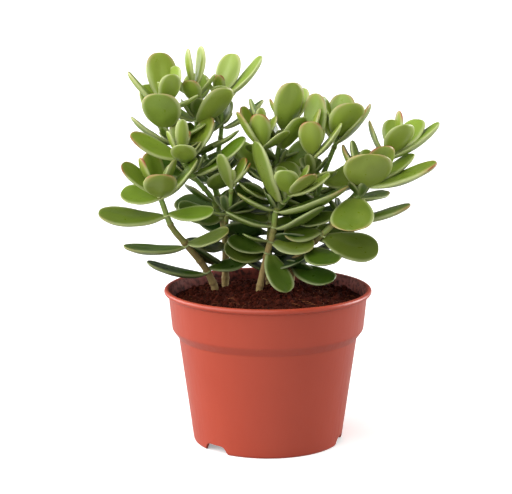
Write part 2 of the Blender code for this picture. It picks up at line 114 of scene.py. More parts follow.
# A fork starts this far back inside its parent, and a little wider.
FORK_OVERLAP = 2.0
FORK_FLARE = 1.08

# Leaf blades. The widest place is a share of the length.
WIDEST = 0.62
BLADE_FULLNESS = 0.66
CURL = 24.0
CUP = 0.10
THICK_SHARE = 0.050
THICK_LEAST = 0.25
BASE_WIDTH = 0.26
# Stems whose long bare lengths carry more leaves, and how far apart in height.
CROWDED = ("left_back", "centre_back", "right_back", "left_top")
CROWD_STEP = 6.5
# They start above the stem's foot, end below its top pair, and keep clear of its own pairs.
CROWD_START = 11.0
CROWD_END = 4.0
CROWD_CLEAR = 3.0
# They are long below this height and shorter above it.
CROWD_SHORT_HEIGHT = 152.0
CROWD_LONG = (23.0, 31.0)
CROWD_SHORT = (17.0, 22.0)
CROWD_SWING = (-14.0, 14.0)
CROWD_RISE = (4.0, 36.0)
CROWD_BROAD = (0.62, 0.76)
CROWD_ROLL = (-30.0, 30.0)
# Buds sit in the axils, on both sides of a leaf; a rooted stem's lowest pairs have none.
BARE_PAIRS = 3
BUD_ABOVE = 2.2
BUD_ASIDE = 38.0
BUD_SWING = (-9.0, 9.0)
BUD_RISE = (42.0, 66.0)
BUD_LENGTH = (9.0, 15.0)
BUD_BROAD = (0.5, 0.66)
BUD_ROLL = (-20.0, 20.0)
# Painted shade: leaves below the first height are darkened the most, and leaves above the second not at all.
PAINTED_SHADE_HEIGHT = 100.0
UNSHADED_HEIGHT = 172.0
DEEPEST_PAINTED_SHADE = 0.8
# Filler leaves inside the plant get this much more painted shade.
INNER_PAINTED_SHADE = 0.45

# Stage, in metres and radians.
FLOOR_RADIUS = 14.0
CAMERA_PLACE = (-0.006873, -1.0019, 0.3037)
CAMERA_DIP = 0.18759
SENSOR = 36.0

# Kinds of node that most trees use.
MATH = "ShaderNodeMath"
VECTOR = "ShaderNodeVectorMath"
MIX = "ShaderNodeMix"
RANGE = "ShaderNodeMapRange"
NOISE = "ShaderNodeTexNoise"
BUMP = "ShaderNodeBump"
STORE = "GeometryNodeStoreNamedAttribute"
SCATTER = "GeometryNodeInstanceOnPoints"
REALIZE = "GeometryNodeRealizeInstances"


class Leaf(NamedTuple):
    """Compass heading (0 is +X, 90 is +Y), rise above level, length, and breadth as a share of it."""

    heading: float
    rise: float
    length: float
    broad: float = 0.58
    roll: float = 0.0


class Pair(NamedTuple):
    """Two opposite leaves at a height: above Z = 0 on a stem, above the crown's foot in a crown."""

    height: float
    leaves: tuple


def pairs(*rows):
    """Leaf pairs from rows of a height and the numbers of each leaf."""
    return tuple(Pair(height, tuple(Leaf(*leaf) for leaf in leaves)) for height, *leaves in rows)


class Shoot(NamedTuple):
    """A stem's route, its radii at the foot and the end, its leaf pairs and its crown."""

    name: str
    parent: str
    route: tuple
    radii: tuple
    pairs: tuple
    crown_height: float
    crown: tuple


SHOOTS = (
    Shoot(
        "left_back", "",
        ((-25, 26, 87), (-25, 25, 113), (-28, 22, 134), (-34, 17, 156), (-40, 14, 175), (-41, 12, 193)),
        (2.3, 1.5),
        pairs(
            (107, (330, -4, 22, 0.70, 25), (150, 10, 24, 0.66)),
            (127, (205, 20, 26, 0.70, -35), (20, 12, 26, 0.70, 35)),
            (146, (284, 30, 24, 0.70), (85, 20, 28, 0.70, 20)),
            (168, (348, 30, 22, 0.56), (120, 15, 28, 0.70)),
            (185, (316, 46, 29, 0.68, -10), (156, 28, 28, 0.58)),
        ),
        14.0,
        pairs(
            (2.5, (250, 50, 18, 0.66), (90, 34, 26, 0.62)),
            (6.0, (350, 50, 17, 0.50), (168, 40, 28, 0.50)),
            (11.0, (200, 80, 23, 0.42), (30, 82, 24, 0.42)),
        ),
    ),
    Shoot(
        "left_far", "left_back",
        ((-32, 19, 150), (-29, 22, 165), (-27, 22, 179), (-27, 21, 192)),
        (1.5, 1.2),
        pairs(
            (180, (6, 36, 27, 0.46), (172, 24, 20, 0.66)),
        ),
        8.0,
        pairs(
            (2.0, (270, 42, 17, 0.70), (80, 30, 24, 0.66)),
            (4.5, (5, 46, 34, 0.44, 10), (190, 56, 15, 0.60)),
            (7.0, (62, 62, 26, 0.60), (250, 66, 13, 0.60)),
        ),
    ),
    Shoot(
        "left_top", "left_back",
        ((-30, 20, 141), (-40, 10, 158), (-51, 3, 171), (-58, -2, 182), (-58, -2, 190)),
        (1.6, 1.3),
        pairs(
            (175, (192, 36, 27, 0.52), (0, 28, 18, 0.54)),
            (184, (265, 54, 25, 0.88), (118, 46, 30, 0.52)),
        ),
        10.0,
        pairs(
            (3.0, (186, 46, 30, 0.50), (353, 24, 20, 0.60)),
            (6.0, (292, 62, 20, 0.66), (106, 72, 30, 0.60)),
            (8.5, (40, 68, 20, 0.70), (200, 68, 11, 0.60)),
        ),
    ),
    Shoot(
        "left_mid", "left_back",
        ((-27, 23, 127), (-33, 12, 141), (-41, -1, 153), (-46, -7, 162)),
        (1.6, 1.3),
        pairs(
            (155, (12, 38, 34, 0.52, 10), (151, 19, 26, 0.66, -20)),
        ),
        9.0,
        pairs(
            (2.5, (271, 34, 22, 0.66), (44, 50, 31, 0.48)),
            (5.5, (194, 28, 33, 0.46, -35), (10, 42, 14, 0.50)),
            (8.0, (103, 68, 21, 0.47), (285, 76, 22, 0.36)),
            (8.6, (207, 62, 16, 0.46), (20, 66, 14, 0.44)),
        ),
    ),
    Shoot(
        "left_front", "",
        ((-31, 16, 87), (-37, 10, 100), (-47, 0, 115), (-55, -8, 127), (-60, -13, 142)),
        (2.3, 1.6),
        pairs(
            (97, (199, 15, 34, 0.42, -10), (15, 10, 22, 0.62, 20)),
            (115, (197, 4, 34, 0.46, -8), (345, 20, 24, 0.62, 25)),
            (134, (189, 4, 36, 0.50, -24), (347, 8, 25, 0.56, 28)),
        ),
        8.0,
        pairs(
            (2.0, (353, 48, 31, 0.52, 15), (168, 8, 23, 0.72, -30)),
            (3.5, (273, 38, 25, 0.76), (115, 55, 28, 0.50)),
            (6.0, (184, 42, 26, 0.66, -25), (334, 62, 22, 0.42)),
            (7.5, (209, 62, 22, 0.44), (30, 60, 16, 0.50)),
        ),
    ),
    Shoot(
        "centre_left", "left_back",
        ((-25, 25, 114), (-24, 12, 127), (-22, 2, 137), (-21, -4, 147)),
        (1.5, 1.2),
        pairs(
            (132, (204, 18, 17, 0.50), (30, 10, 17, 0.60)),
        ),
        6.0,
        pairs(
            (1.5, (238, 66, 23, 0.40), (35, 66, 15, 0.52)),
            (4.5, (0, 50, 16, 0.46), (154, 66, 11, 0.46)),
            (5.5, (30, 60, 16, 0.62), (270, 60, 10, 0.5)),
        ),
    ),
    Shoot(
        "centre_back", "",
        ((1, 24, 87), (1, 19, 114), (3, 14, 139), (5, 11, 162), (8, 8, 178)),
        (2.2, 1.4),
        pairs(
            (110, (215, 2, 28, 0.72, -35), (35, 10, 26, 0.70, 20)),
            (126, (171, 30, 30, 0.72, -35), (335, 4, 28, 0.64, 35)),
            (142, (75, 24, 30, 0.72), (221, 24, 26, 0.70, -30)),
            (157, (10, 40, 26, 0.72, 35), (175, 34, 26, 0.70, -35)),
            (171, (178, 62, 30, 0.46), (310, 52, 24, 0.66)),
        ),
        8.0,
        pairs(
            (3.0, (290, 64, 31, 0.58), (40, 56, 27, 0.66)),
            (6.5, (190, 60, 16, 0.56), (350, 62, 18, 0.56)),
        ),
    ),
    Shoot(
        "centre_mid", "centre_back",
        ((4, 13, 148), (0, 5, 158), (-2, 1, 168)),
        (1.3, 1.1),
        (),
        8.0,
        pairs(
            (2.5, (199, 54, 27, 0.48), (318, 34, 21, 0.62)),
            (4.5, (256, 66, 21, 0.60), (147, 56, 26, 0.48)),
            (7.5, (106, 80, 19, 0.36), (20, 60, 16, 0.56)),
        ),
    ),
    Shoot(
        "centre_front", "",
        ((-5, 6, 87), (-1, 2, 107), (3, -2, 123), (5, -7, 137), (11, -14, 145)),
        (2.1, 1.6),
        pairs(
            (110, (300, -42, 27, 0.60), (155, 16, 22, 0.66, -25)),
            (117, (342, 2, 23, 0.66, 40), (205, 20, 15, 0.60)),
            (126, (330, 28, 32, 0.48), (186, 20, 26, 0.50)),
            (136, (348, 23, 42, 0.42), (191, 28, 22, 0.50)),
            (142, (203, 69, 37, 0.58), (84, 46, 26, 0.66)),
        ),
        7.0,
        pairs(
            (2.0, (262, 50, 21, 0.70), (344, 28, 26, 0.56, 15)),
            (4.2, (305, 36, 22, 0.66), (120, 46, 18, 0.60)),
            (5.6, (15, 60, 17, 0.60), (195, 60, 14, 0.56)),
        ),
    ),
    Shoot(
        "right_back", "",
        ((13, 23, 87), (19, 19, 111), (27, 14, 136), (33, 10, 157), (38, 9, 170)),
        (2.2, 1.4),
        pairs(
            (120, (0, 0, 26, 0.72, 35), (147, 5, 24, 0.70)),
            (134, (80, 15, 28, 0.72), (222, 21, 24, 0.70)),
            (151, (350, 20, 27, 0.74, 40), (152, 30, 26, 0.70, -35)),
        ),
        10.0,
        pairs(
            (2.5, (140, 70, 28, 0.48), (350, 50, 30, 0.58)),
            (6.5, (292, 50, 28, 0.76), (75, 65, 26, 0.62)),
            (9.0, (180, 60, 15, 0.60), (15, 60, 17, 0.66)),
        ),
    ),
    Shoot(
        "right_mid", "right_back",
        ((28, 14, 139), (26, 5, 151), (25, -1, 163)),
        (1.4, 1.2),
        pairs(
            (154, (296, 20, 20, 0.66), (98, 32, 20, 0.66)),
        ),
        7.0,
        pairs(
            (2.0, (180, 100, 29, 0.40), (335, 50, 28, 0.50, 20)),
            (5.0, (266, 62, 23, 0.62), (70, 76, 35, 0.40)),
            (6.0, (30, 60, 15, 0.56), (205, 64, 12, 0.5)),
        ),
    ),
    Shoot(
        "right_front", "",
        ((7, 9, 87), (10, 8, 97), (18, 4, 108), (32, -2, 122), (44, -6, 135), (54, -8, 148)),
        (2.2, 1.5),
        pairs(
            (103, (324, -10, 27, 0.62, 25), (112, 10, 20, 0.54)),
            (114, (302, -10, 24, 0.80, 15), (144, -4, 22, 0.66)),
            (121, (354, -12, 31, 0.78, 32), (190, -2, 20, 0.66, -30)),
            (131, (356, 16, 40, 0.40, 5), (170, -11, 22, 0.66, -25)),
            (143, (258, -32, 27, 0.92), (50, 4, 26, 0.58)),
        ),
        8.0,
        pairs(
            (1.0, (275, 50, 29, 0.96), (95, 52, 24, 0.60)),
            (2.5, (354, 20, 42, 0.42, 10), (176, 60, 27, 0.50)),
            (4.5, (26, 28, 33, 0.44), (160, 68, 26, 0.50)),
            (7.5, (303, 60, 24, 0.86), (120, 64, 18, 0.60)),
        ),
    ),
    Shoot(
        "right_far", "right_front",
        ((33, -2, 123), (45, 7, 137), (58, 8, 152), (66, 5, 162)),
        (1.5, 1.2),
        (),
        10.0,
        pairs(
            (2.5, (9, 34, 37, 0.44), (180, 66, 24, 0.60)),
            (6.0, (296, 50, 25, 0.74), (40, 40, 29, 0.70)),
            (9.0, (100, 74, 18, 0.66), (30, 80, 23, 0.36)),
        ),
    ),
)


# Growth: the same rules give the stems' routes and the leaves' feet as in the CAD model.


def spline_point(points, share):
    """A point on the smooth curve through the points; the share counts spans from the first."""
    span = min(int(share), len(points) - 2)
    step = share - span
    before = points[max(span - 1, 0)]
    start = points[span]
    end = points[span + 1]
    after = points[min(span + 2, len(points) - 1)]
    return 0.5 * (
        2.0 * start
        + (end - before) * step
        + (2.0 * before - 5.0 * start + 4.0 * end - after) * step**2
        + (3.0 * start - before - 3.0 * end + after) * step**3
    )


class Stem:
    """The route of one stem, as evenly spaced places with a radius at each."""

    def __init__(self, shoot, parent):
        corners = [Vector(corner) for corner in shoot.route]
        steps = ROUTE_STEPS * (len(corners) - 1)
        fine = [spline_point(corners, number / ROUTE_STEPS) for number in range(steps + 1)]
        if parent:
            fine = self.clear_of(parent, fine, shoot.radii[0])
        else:
            fine.insert(0, fine[0] - Vector((0.0, 0.0, PLANTING_DEPTH - 1.0)))
        lengths = [0.0]
        for one, two in zip(fine, fine[1:]):
            lengths.append(lengths[-1] + (two - one).length)
        self.fine = fine
        self.lengths = lengths
        self.radii = shoot.radii

    @staticmethod
    def clear_of(parent, fine, radius):
        """Drops the part of a fork's route that lies inside its parent."""
        for number, point in enumerate(fine[:-1]):
            ahead = (fine[number + 1] - point).normalized()
            near, along, thick = parent.nearest(point)
            if (point - near).length > thick + GAP + radius * abs(ahead.dot(along)):
                return fine[number:]
        raise ValueError("a fork never leaves its parent stem")

    def nearest(self, point):
        gaps = [(place - point).length for place in self.fine[:-1]]
        index = gaps.index(min(gaps))
        along = (self.fine[index + 1] - self.fine[index]).normalized()
        near = self.fine[index] + along * (point - self.fine[index]).dot(along)
        return near, along, self.radius_at(self.lengths[index])

    def radius_at(self, length):
        share = length / self.lengths[-1]
        return self.radii[0] + (self.radii[1] - self.radii[0]) * share

    def place_at(self, length):
        """Point, direction and radius at a distance from the foot."""
        index = 0
        while index < len(self.lengths) - 2 and self.lengths[index + 1] < length:
            index += 1
        along = (self.fine[index + 1] - self.fine[index]).normalized()
        return self.fine[index] + along * (length - self.lengths[index]), along, self.radius_at(length)

    def place_at_height(self, height):
        index = 0
        while index < len(self.fine) - 2 and self.fine[index + 1].z < height:
            index += 1
        rise = self.fine[index + 1].z - self.fine[index].z
        part = (height - self.fine[index].z) / rise
        length = self.lengths[index] + part * (self.lengths[index + 1] - self.lengths[index])
        return self.place_at(length)


def grow_stems():
    """The routes of all the stems, by name."""
    stems = {}
    for shoot in SHOOTS:
        stems[shoot.name] = Stem(shoot, stems.get(shoot.parent))
    return stems


def leaf_foot(centre, along, distance, heading):
    """The point of a sheath that faces the heading."""
    facing = Vector((math.cos(math.radians(heading)), math.sin(math.radians(heading)), 0.0))
    sideways = (facing - along * facing.dot(along)).normalized()
    return centre + sideways * distance

# Node helper, colours, properties and meshes.


def linear(code):
    """An sRGB hex colour as linear red, green, blue and alpha."""
    channels = [int(code[place:place + 2], 16) / 255.0 for place in (1, 3, 5)]
    return (*[c / 12.92 if c <= 0.04045 else ((c + 0.055) / 1.055) ** 2.4 for c in channels], 1.0)


def swatch(name, description, code):
    """A colour property whose default is an sRGB hex colour."""
    return FloatVectorProperty(
        name=name, description=description, subtype="COLOR", size=4, min=0.0, max=1.0,
        default=linear(code),
    )


def measure(name, description, default, least, most):
    """A length property in metres."""
    return FloatProperty(
        name=name, description=description, unit="LENGTH", default=default, min=least, max=most,
    )


def satin(default):
    """A roughness property."""
    return FloatProperty(
        name="Roughness", description="0 is polished and 1 is matt", subtype="FACTOR", default=default,
        min=0.1, max=0.9,
    )


def strength(name, description, default):
    """The strength of a light."""
    return FloatProperty(name=name, description=description, default=default, min=0.0)


def feed(tree, socket, source):
    """Gives a socket a value, or links it from a socket or from a node's first live output."""
    if isinstance(source, bpy.types.Node):
        source = next(output for output in source.outputs if output.enabled)
    if isinstance(source, bpy.types.NodeSocket):
        tree.links.new(source, socket)
    else:
        socket.default_value = source


def add_node(tree, kind, inputs=(), **settings):
    """Adds a node. Its inputs, in order or by name, are values, nodes, sockets, or lists to join."""
    node = tree.nodes.new(kind)
    for name, value in settings.items():
        setattr(node, name, value)
    for key, value in inputs.items() if isinstance(inputs, dict) else enumerate(inputs):
        live = [socket for socket in node.inputs if socket.enabled]
        socket = live[key] if isinstance(key, int) else next(s for s in live if s.name == key)
        for source in value if isinstance(value, list) else [value]:
            feed(tree, socket, source)
    return node


def new_tree(name, sockets):
    """A geometry node tree, its node helper and its named inputs."""
    tree = bpy.data.node_groups.new(name, "GeometryNodeTree")
    for label, kind in sockets.items():
        tree.interface.new_socket(name=label, in_out="INPUT", socket_type="NodeSocket" + kind)
    tree.interface.new_socket(name="Geometry", in_out="OUTPUT", socket_type="NodeSocketGeometry")
    given = tree.nodes.new("NodeGroupInput").outputs
    return tree, partial(add_node, tree), {label: given[label] for label in sockets}


def end_tree(node, shape, material):
    """Ends a tree in a plain mesh that wears its material."""
    shape = node(REALIZE, {"Geometry": shape})
    shape = node("GeometryNodeSetMaterial", {"Geometry": shape, "Material": material})
    node("NodeGroupOutput", {"Geometry": shape})


def link_object(name, data):
    thing = bpy.data.objects.new(name, data)
    bpy.context.scene.collection.objects.link(thing)
    return thing


def solid_object(name, bm):
    """An object made of a finished bmesh."""
    mesh = bpy.data.meshes.new(name)
    bm.to_mesh(mesh)
    bm.free()
    return link_object(name, mesh)


def plain_mesh(*things):
    """The first object's mesh with its modifiers applied; the objects are used up."""
    graph = bpy.context.evaluated_depsgraph_get()
    mesh = bpy.data.meshes.new_from_object(things[0].evaluated_get(graph))
    for thing in things:
        bpy.data.objects.remove(thing, do_unlink=True)
    return mesh


def run_tree(thing, tree, values):
    """Runs a node tree on an object and returns its result as a plain mesh."""
    step = thing.modifiers.new(tree.name, "NODES")
    step.node_group = tree
    named = {item.name: item.identifier for item in tree.interface.items_tree if item.in_out == "INPUT"}
    for label, value in values.items():
        step[named[label]] = value
    return plain_mesh(thing)


def finish_piece(name, mesh, nodes):
    """A finished piece that rides on the plant's one body and stands for CAD nodes."""
    mesh.name = name
    piece = link_object(name, mesh)
    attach(piece, BODY)
    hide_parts(*nodes)
    return piece


def new_material(name):
    """A material with one Principled surface, its node helper and its Object coordinates."""
    material = bpy.data.materials.new(name)
    material.use_nodes = True
    node = partial(add_node, material.node_tree)
    return material, node, node("ShaderNodeTexCoord").outputs["Object"]


def finish_material(material, inputs):
    """Sets or links the surface's own sockets."""
    tree = material.node_tree
    for name, source in inputs.items():
        feed(tree, tree.nodes["Principled BSDF"].inputs[name], source)
    return material


# Pot.


def rounded(outline, reach, steps):
    """An outline whose corners are turned into short curves."""
    corners = [Vector(corner) for corner in outline]
    points = [corners[0]]
    for before, corner, after in zip(corners, corners[1:], corners[2:]):
        back = min(reach, 0.48 * (before - corner).length)
        on = min(reach, 0.48 * (after - corner).length)
        start = corner + (before - corner).normalized() * back
        end = corner + (after - corner).normalized() * on
        for number in range(steps + 1):
            share = number / steps
            points.append(start * (1 - share) ** 2 + corner * 2 * share * (1 - share) + end * share**2)
    points.append(corners[-1])
    return points


def turned(name, outline):
    """A solid turned about Z from an outline in millimetres that runs down its outer side."""
    bm = bmesh.new()
    corners = [bm.verts.new((radius * MM, 0.0, height * MM)) for radius, height in outline]
    for one, two in zip(corners, corners[1:]):
        bm.edges.new((one, two))
    thing = solid_object(name, bm)
    screw = thing.modifiers.new("Turn", "SCREW")
    screw.axis = "Z"
    screw.steps = POT_SIDES
    screw.render_steps = POT_SIDES
    screw.use_merge_vertices = True
    screw.merge_threshold = 0.00001
    screw.use_normal_calculate = False
    return thing


def pot_outline():
    """Inside floor, inside wall, lip, outside wall, foot ring, underside."""
    lip_base = POT_HEIGHT - LIP_HEIGHT
    return (
        (0.0, FLOOR_TOP),
        (FOOT_RADIUS - WALL - 1.2, FLOOR_TOP),
        (FOOT_RADIUS - WALL + 0.6, FLOOR_TOP + 1.6),
        (SHOULDER_RADIUS - WALL, SHOULDER_HEIGHT + 0.6),
        (COLLAR_FOOT_RADIUS - WALL, COLLAR_FOOT_HEIGHT + 0.6),
        (COLLAR_TOP_RADIUS - WALL, lip_base),
        (COLLAR_TOP_RADIUS - 0.6, POT_HEIGHT - 0.7),
        (RIM_RADIUS - 1.6, POT_HEIGHT),
        (RIM_RADIUS - 0.4, POT_HEIGHT - 0.6),
        (RIM_RADIUS, POT_HEIGHT - 1.7),
        (RIM_RADIUS - 0.4, POT_HEIGHT - 2.9),
        (COLLAR_TOP_RADIUS, lip_base),
        (COLLAR_FOOT_RADIUS, COLLAR_FOOT_HEIGHT + 0.8),
        (COLLAR_FOOT_RADIUS - 0.8, COLLAR_FOOT_HEIGHT - 0.5),
        (SHOULDER_RADIUS + 0.5, SHOULDER_HEIGHT + 0.7),
        (SHOULDER_RADIUS, SHOULDER_HEIGHT),
        (FOOT_RADIUS + 0.2, 1.0),
        (FOOT_RADIUS - 0.5, 0.0),
        (FOOT_RADIUS - WALL, 0.0),
        (FOOT_RADIUS - WALL, FLOOR_UNDERSIDE),
        (0.0, FLOOR_UNDERSIDE),
    )


def notch_cutter(number, heading):
    """A wedge that leaves one pouring notch in the foot ring."""
    bm = bmesh.new()
    bmesh.ops.create_cube(bm, size=1.0)
    for corner in bm.verts:
        width, height = (NOTCH_TOP_WIDTH, NOTCH_HEIGHT) if corner.co.z > 0 else (NOTCH_WIDTH, -1.0)
        across = FOOT_RADIUS + corner.co.x * NOTCH_REACH
        corner.co = Vector((across * MM, corner.co.y * width * MM, height * MM))
    upper = [
        edge for edge in bm.edges
        if min(v.co.z for v in edge.verts) > 0 and abs(edge.verts[0].co.x - edge.verts[1].co.x) > MM
    ]
    bmesh.ops.bevel(bm, geom=upper, offset=NOTCH_CORNER * MM, segments=5, profile=0.5, affect="EDGES")
    bmesh.ops.transform(bm, matrix=Matrix.Rotation(math.radians(heading), 4, "Z"), verts=bm.verts)
    return solid_object(f"notch_{number}", bm)


def drain_cutter(number):
    """A round bar that leaves one drain hole in the floor."""
    angle = math.tau * number / DRAIN_COUNT
    middle = Vector((DRAIN_RING * math.cos(angle), DRAIN_RING * math.sin(angle), FLOOR_TOP)) * MM
    bm = bmesh.new()
    bmesh.ops.create_cone(
        bm, cap_ends=True, segments=32, radius1=DRAIN_RADIUS * MM, radius2=DRAIN_RADIUS * MM,
        depth=DRAIN_DEPTH * MM, matrix=Matrix.Translation(middle),
    )
    return solid_object(f"drain_{number}", bm)


def pot_material(settings):
    """Polypropylene, injection moulded: a smooth satin skin with faint upright draw lines and scuffs, and
    painted shade with dust specks inside the wall.
    """
    material, node, place = new_material("moulded polypropylene")
    upright = node("ShaderNodeMapping", {"Vector": place, "Scale": (1.0, 1.0, 0.03)})
    lines, cloud, grain, speck = [
        node(NOISE, {"Vector": where, "Scale": scale, "Detail": detail})
        for where, scale, detail in (
            # Draw lines left by the mould run up the wall, about 1.5 mm apart.
            (upright, 650.0, 2.0),
            # Thicker and thinner places are some 35 mm wide.
            (place, 28.0, 3.0),
            # Grain of about 0.7 mm, a little coarse so that it shows.
            (place, 1400.0, 2.0),
            # Specks of dust of about 2.4 mm.
            (place, 420.0, 4.0),
        )
    ]
    tint = node(
        MIX, {"Factor": cloud, "A": settings.colour, "B": settings.colour_thin}, data_type="RGBA",
    )
    # Painted shade darkens the inside of the wall to a dark maroon, at least 0.6 strong everywhere, with
    # specks of dried peat dust on top.
    normal = node("ShaderNodeNewGeometry").outputs["Normal"]
    level = node(VECTOR, (place, (1.0, 1.0, 0.0)), operation="MULTIPLY")
    outward = node(VECTOR, (normal, level), operation="DOT_PRODUCT").outputs["Value"]
    inside = node(RANGE, {"Value": outward, "From Min": -0.005, "From Max": -0.04})
    shade_floor_specks = node(RANGE, {"Value": speck, "From Min": 0.45, "From Max": 0.65, "To Min": 0.6})
    shaded_dusty_inside = node(MATH, (inside, shade_floor_specks), operation="MULTIPLY")
    rough = node(RANGE, {
        "Value": lines, "From Min": 0.3, "From Max": 0.7,
        "To Min": settings.roughness - 0.05, "To Max": settings.roughness + 0.07,
    })
    relief = node(MATH, (lines, 0.6, grain), operation="MULTIPLY_ADD")
    return finish_material(material, {
        # Inside the wall: painted shade with dust specks.
        "Base Color": node(MIX, {"Factor": shaded_dusty_inside, "A": tint, "B": settings.colour_inside_shade_dust}, data_type="RGBA"),
        "Roughness": node(MATH, (shaded_dusty_inside, 0.6, rough), operation="MULTIPLY_ADD", use_clamp=True),
        "Normal": node(BUMP, {"Strength": 0.25, "Distance": 0.00008, "Height": relief}),
        "IOR": 1.49,
        "Specular IOR Level": 0.5,
        "Subsurface Weight": 0.05,
        "Subsurface Radius": (1.0, 0.3, 0.2),
        "Subsurface Scale": 0.001,
    })


class JadePotSettings(bpy.types.PropertyGroup):
    colour: swatch("Wall", "Colour of the thick plastic", "#A23B25")
    colour_thin: swatch("Wall, thin", "Colour where the plastic is thinner", "#AA422B")
    # Painted shade and dried peat dust inside the wall.
    colour_inside_shade_dust: swatch("Dried peat", "Colour of the dust inside the wall", "#34100A")
    roughness: satin(0.38)
    corner: measure("Corner", "How far each moulded corner is rounded", 0.0008, 0.0001, 0.002)


class JADE_OT_pot(bpy.types.Operator):
    """Turn the nursery pot, cut its notches and drain holes, and finish it"""

    bl_idname = "jade.pot"
    bl_label = "Make Pot"

    def execute(self, context):
        settings = context.scene.jade_pot
        pot = turned("pot_turning", rounded(pot_outline(), settings.corner / MM, 4))
        cutters = [notch_cutter(number, heading) for number, heading in enumerate(NOTCH_HEADINGS)]
        cutters += [drain_cutter(number) for number in range(DRAIN_COUNT)]
        for cutter in cutters:
            step = pot.modifiers.new(cutter.name, "BOOLEAN")
            step.operation = "DIFFERENCE"
            step.solver = "EXACT"
            step.object = cutter
        mesh = plain_mesh(pot, *cutters)
        mesh.shade_smooth()
        mesh.set_sharp_from_angle(angle=math.radians(SHARP_ANGLE))
        mesh.materials.clear()
        mesh.materials.append(pot_material(settings))
        finish_piece("nursery_pot", mesh, ["pot"])
        return {"FINISHED"}


# Soil.


def soil_tree():
    """Roughens the top of the soil and strews crumbs and fibres over it."""
    tree, node, value = new_tree("Peat surface", {
        "Geometry": "Geometry",
        "Edge": "Float",
        "Roughness Height": "Float",
        "Crumb Size": "Float",
        "Crumb Density": "Float",
        "Fibre Length": "Float",
        "Fibre Density": "Float",
        "Seed": "Int",
        "Peat": "Material",
    })
    place = node("GeometryNodeInputPosition")
    facing = node("ShaderNodeSeparateXYZ", (node("GeometryNodeInputNormal"),)).outputs["Z"]
    lumps = node(NOISE, {"Vector": place, "Scale": 95.0, "Detail": 5.0, "Roughness": 0.72})
    flat = node(VECTOR, (place, (1.0, 1.0, 0.0)), operation="MULTIPLY")
    far = node(VECTOR, (flat,), operation="LENGTH").outputs["Value"]
    for name, kind, least, most, seed in (
        ("spin", "FLOAT_VECTOR", (0.0, 0.0, 0.0), (6.28, 6.28, 6.28), value["Seed"]),
        ("size", "FLOAT", 0.0, 1.0, 7),
        ("squat", "FLOAT_VECTOR", (0.7, 0.5, 0.4), (1.3, 1.0, 0.8), 11),
        ("crumb shade", "FLOAT", 0.0, 0.8, 3),
        ("turn", "FLOAT_VECTOR", (-0.35, -0.35, 0.0), (0.35, 0.35, 6.28), 13),
        ("reach", "FLOAT", 0.35, 1.2, 17),
        ("fibre shade", "FLOAT", 0.7, 1.6, 19),
    ):
        value[name] = node(
            "FunctionNodeRandomValue", {"Min": least, "Max": most, "Seed": seed}, data_type=kind,
        )
    for name, operation, *terms in (
        ("top", "GREATER_THAN", facing, 0.8),
        ("level", "SUBTRACT", lumps, 0.5),
        ("height", "MULTIPLY", "level", "Roughness Height"),
        # What lies on top stays clear of the pot's wall.
        ("crumb end", "MULTIPLY_ADD", "Crumb Size", 1.4, far),
        ("crumb clear", "LESS_THAN", "crumb end", "Edge"),
        ("crumb bed", "MULTIPLY", "top", "crumb clear"),
        ("fibre end", "MULTIPLY_ADD", "Fibre Length", 0.6, far),
        ("fibre clear", "LESS_THAN", "fibre end", "Edge"),
        ("fibre bed", "MULTIPLY", "top", "fibre clear"),
        # Most crumbs are small and a few are large.
        ("skew", "POWER", "size", 3.0),
        ("grow", "MULTIPLY_ADD", "skew", 1.7, 0.45),
        ("crumb", "MULTIPLY", "grow", "Crumb Size"),
        ("long", "MULTIPLY", "reach", "Fibre Length"),
    ):
        value[name] = node(MATH, [value.get(term, term) for term in terms], operation=operation)
    rise = node("ShaderNodeCombineXYZ", {"Z": value["height"]})
    ground = node(
        "GeometryNodeSetPosition",
        {"Geometry": value["Geometry"], "Selection": value["top"], "Offset": rise},
    )
    ground = node(STORE, {"Geometry": ground, "Name": "shade", "Value": 0.35})
    ball = node("GeometryNodeMeshIcoSphere", {"Radius": 0.5, "Subdivisions": 1})
    scale = node(VECTOR, {0: value["squat"], "Scale": value["crumb"]}, operation="SCALE")
    arc = node("GeometryNodeCurvePrimitiveBezierSegment", {
        "Resolution": 5, "Start": (-0.5, 0.0, 0.0), "Start Handle": (-0.2, 0.25, 0.1),
        "End Handle": (0.2, -0.1, 0.16), "End": (0.5, 0.05, 0.02),
    })
    section = node("GeometryNodeCurvePrimitiveCircle", {"Resolution": 3, "Radius": 0.016})
    strand = node(
        "GeometryNodeCurveToMesh", {"Curve": arc, "Profile Curve": section, "Fill Caps": True},
    )
    strewn = []
    for what, seed, bit, turn, size, lift in (
        ("crumb", value["Seed"], ball, value["spin"], scale, (0.0, 0.0, 0.0)),
        ("fibre", 5, strand, value["turn"], value["long"], (0.0, 0.0, 0.0004)),
    ):
        points = node("GeometryNodeDistributePointsOnFaces", {
            "Mesh": ground, "Selection": value[what + " bed"],
            "Density": value[what.title() + " Density"], "Seed": seed,
        })
        bits = node(SCATTER, {"Points": points, "Instance": bit, "Rotation": turn, "Scale": size})
        bits = node(
            STORE, {"Geometry": bits, "Name": "shade", "Value": value[what + " shade"]}, domain="INSTANCE",
        )
        bits = node("GeometryNodeTranslateInstances", {"Instances": bits, "Translation": lift})
        strewn.append(node(REALIZE, {"Geometry": bits}))
    # The crumbs are pulled out of round.
    ragged = node(NOISE, {"Vector": place, "Scale": 900.0, "Detail": 1.0}).outputs["Color"]
    pull = node(VECTOR, (ragged, (0.5, 0.5, 0.5)), operation="SUBTRACT")
    pull = node(VECTOR, {0: pull, "Scale": 0.0016}, operation="SCALE")
    strewn[0] = node("GeometryNodeSetPosition", {"Geometry": strewn[0], "Offset": pull})
    whole = node("GeometryNodeJoinGeometry", {"Geometry": [ground, *strewn]})
    end_tree(node, whole, value["Peat"])
    return tree


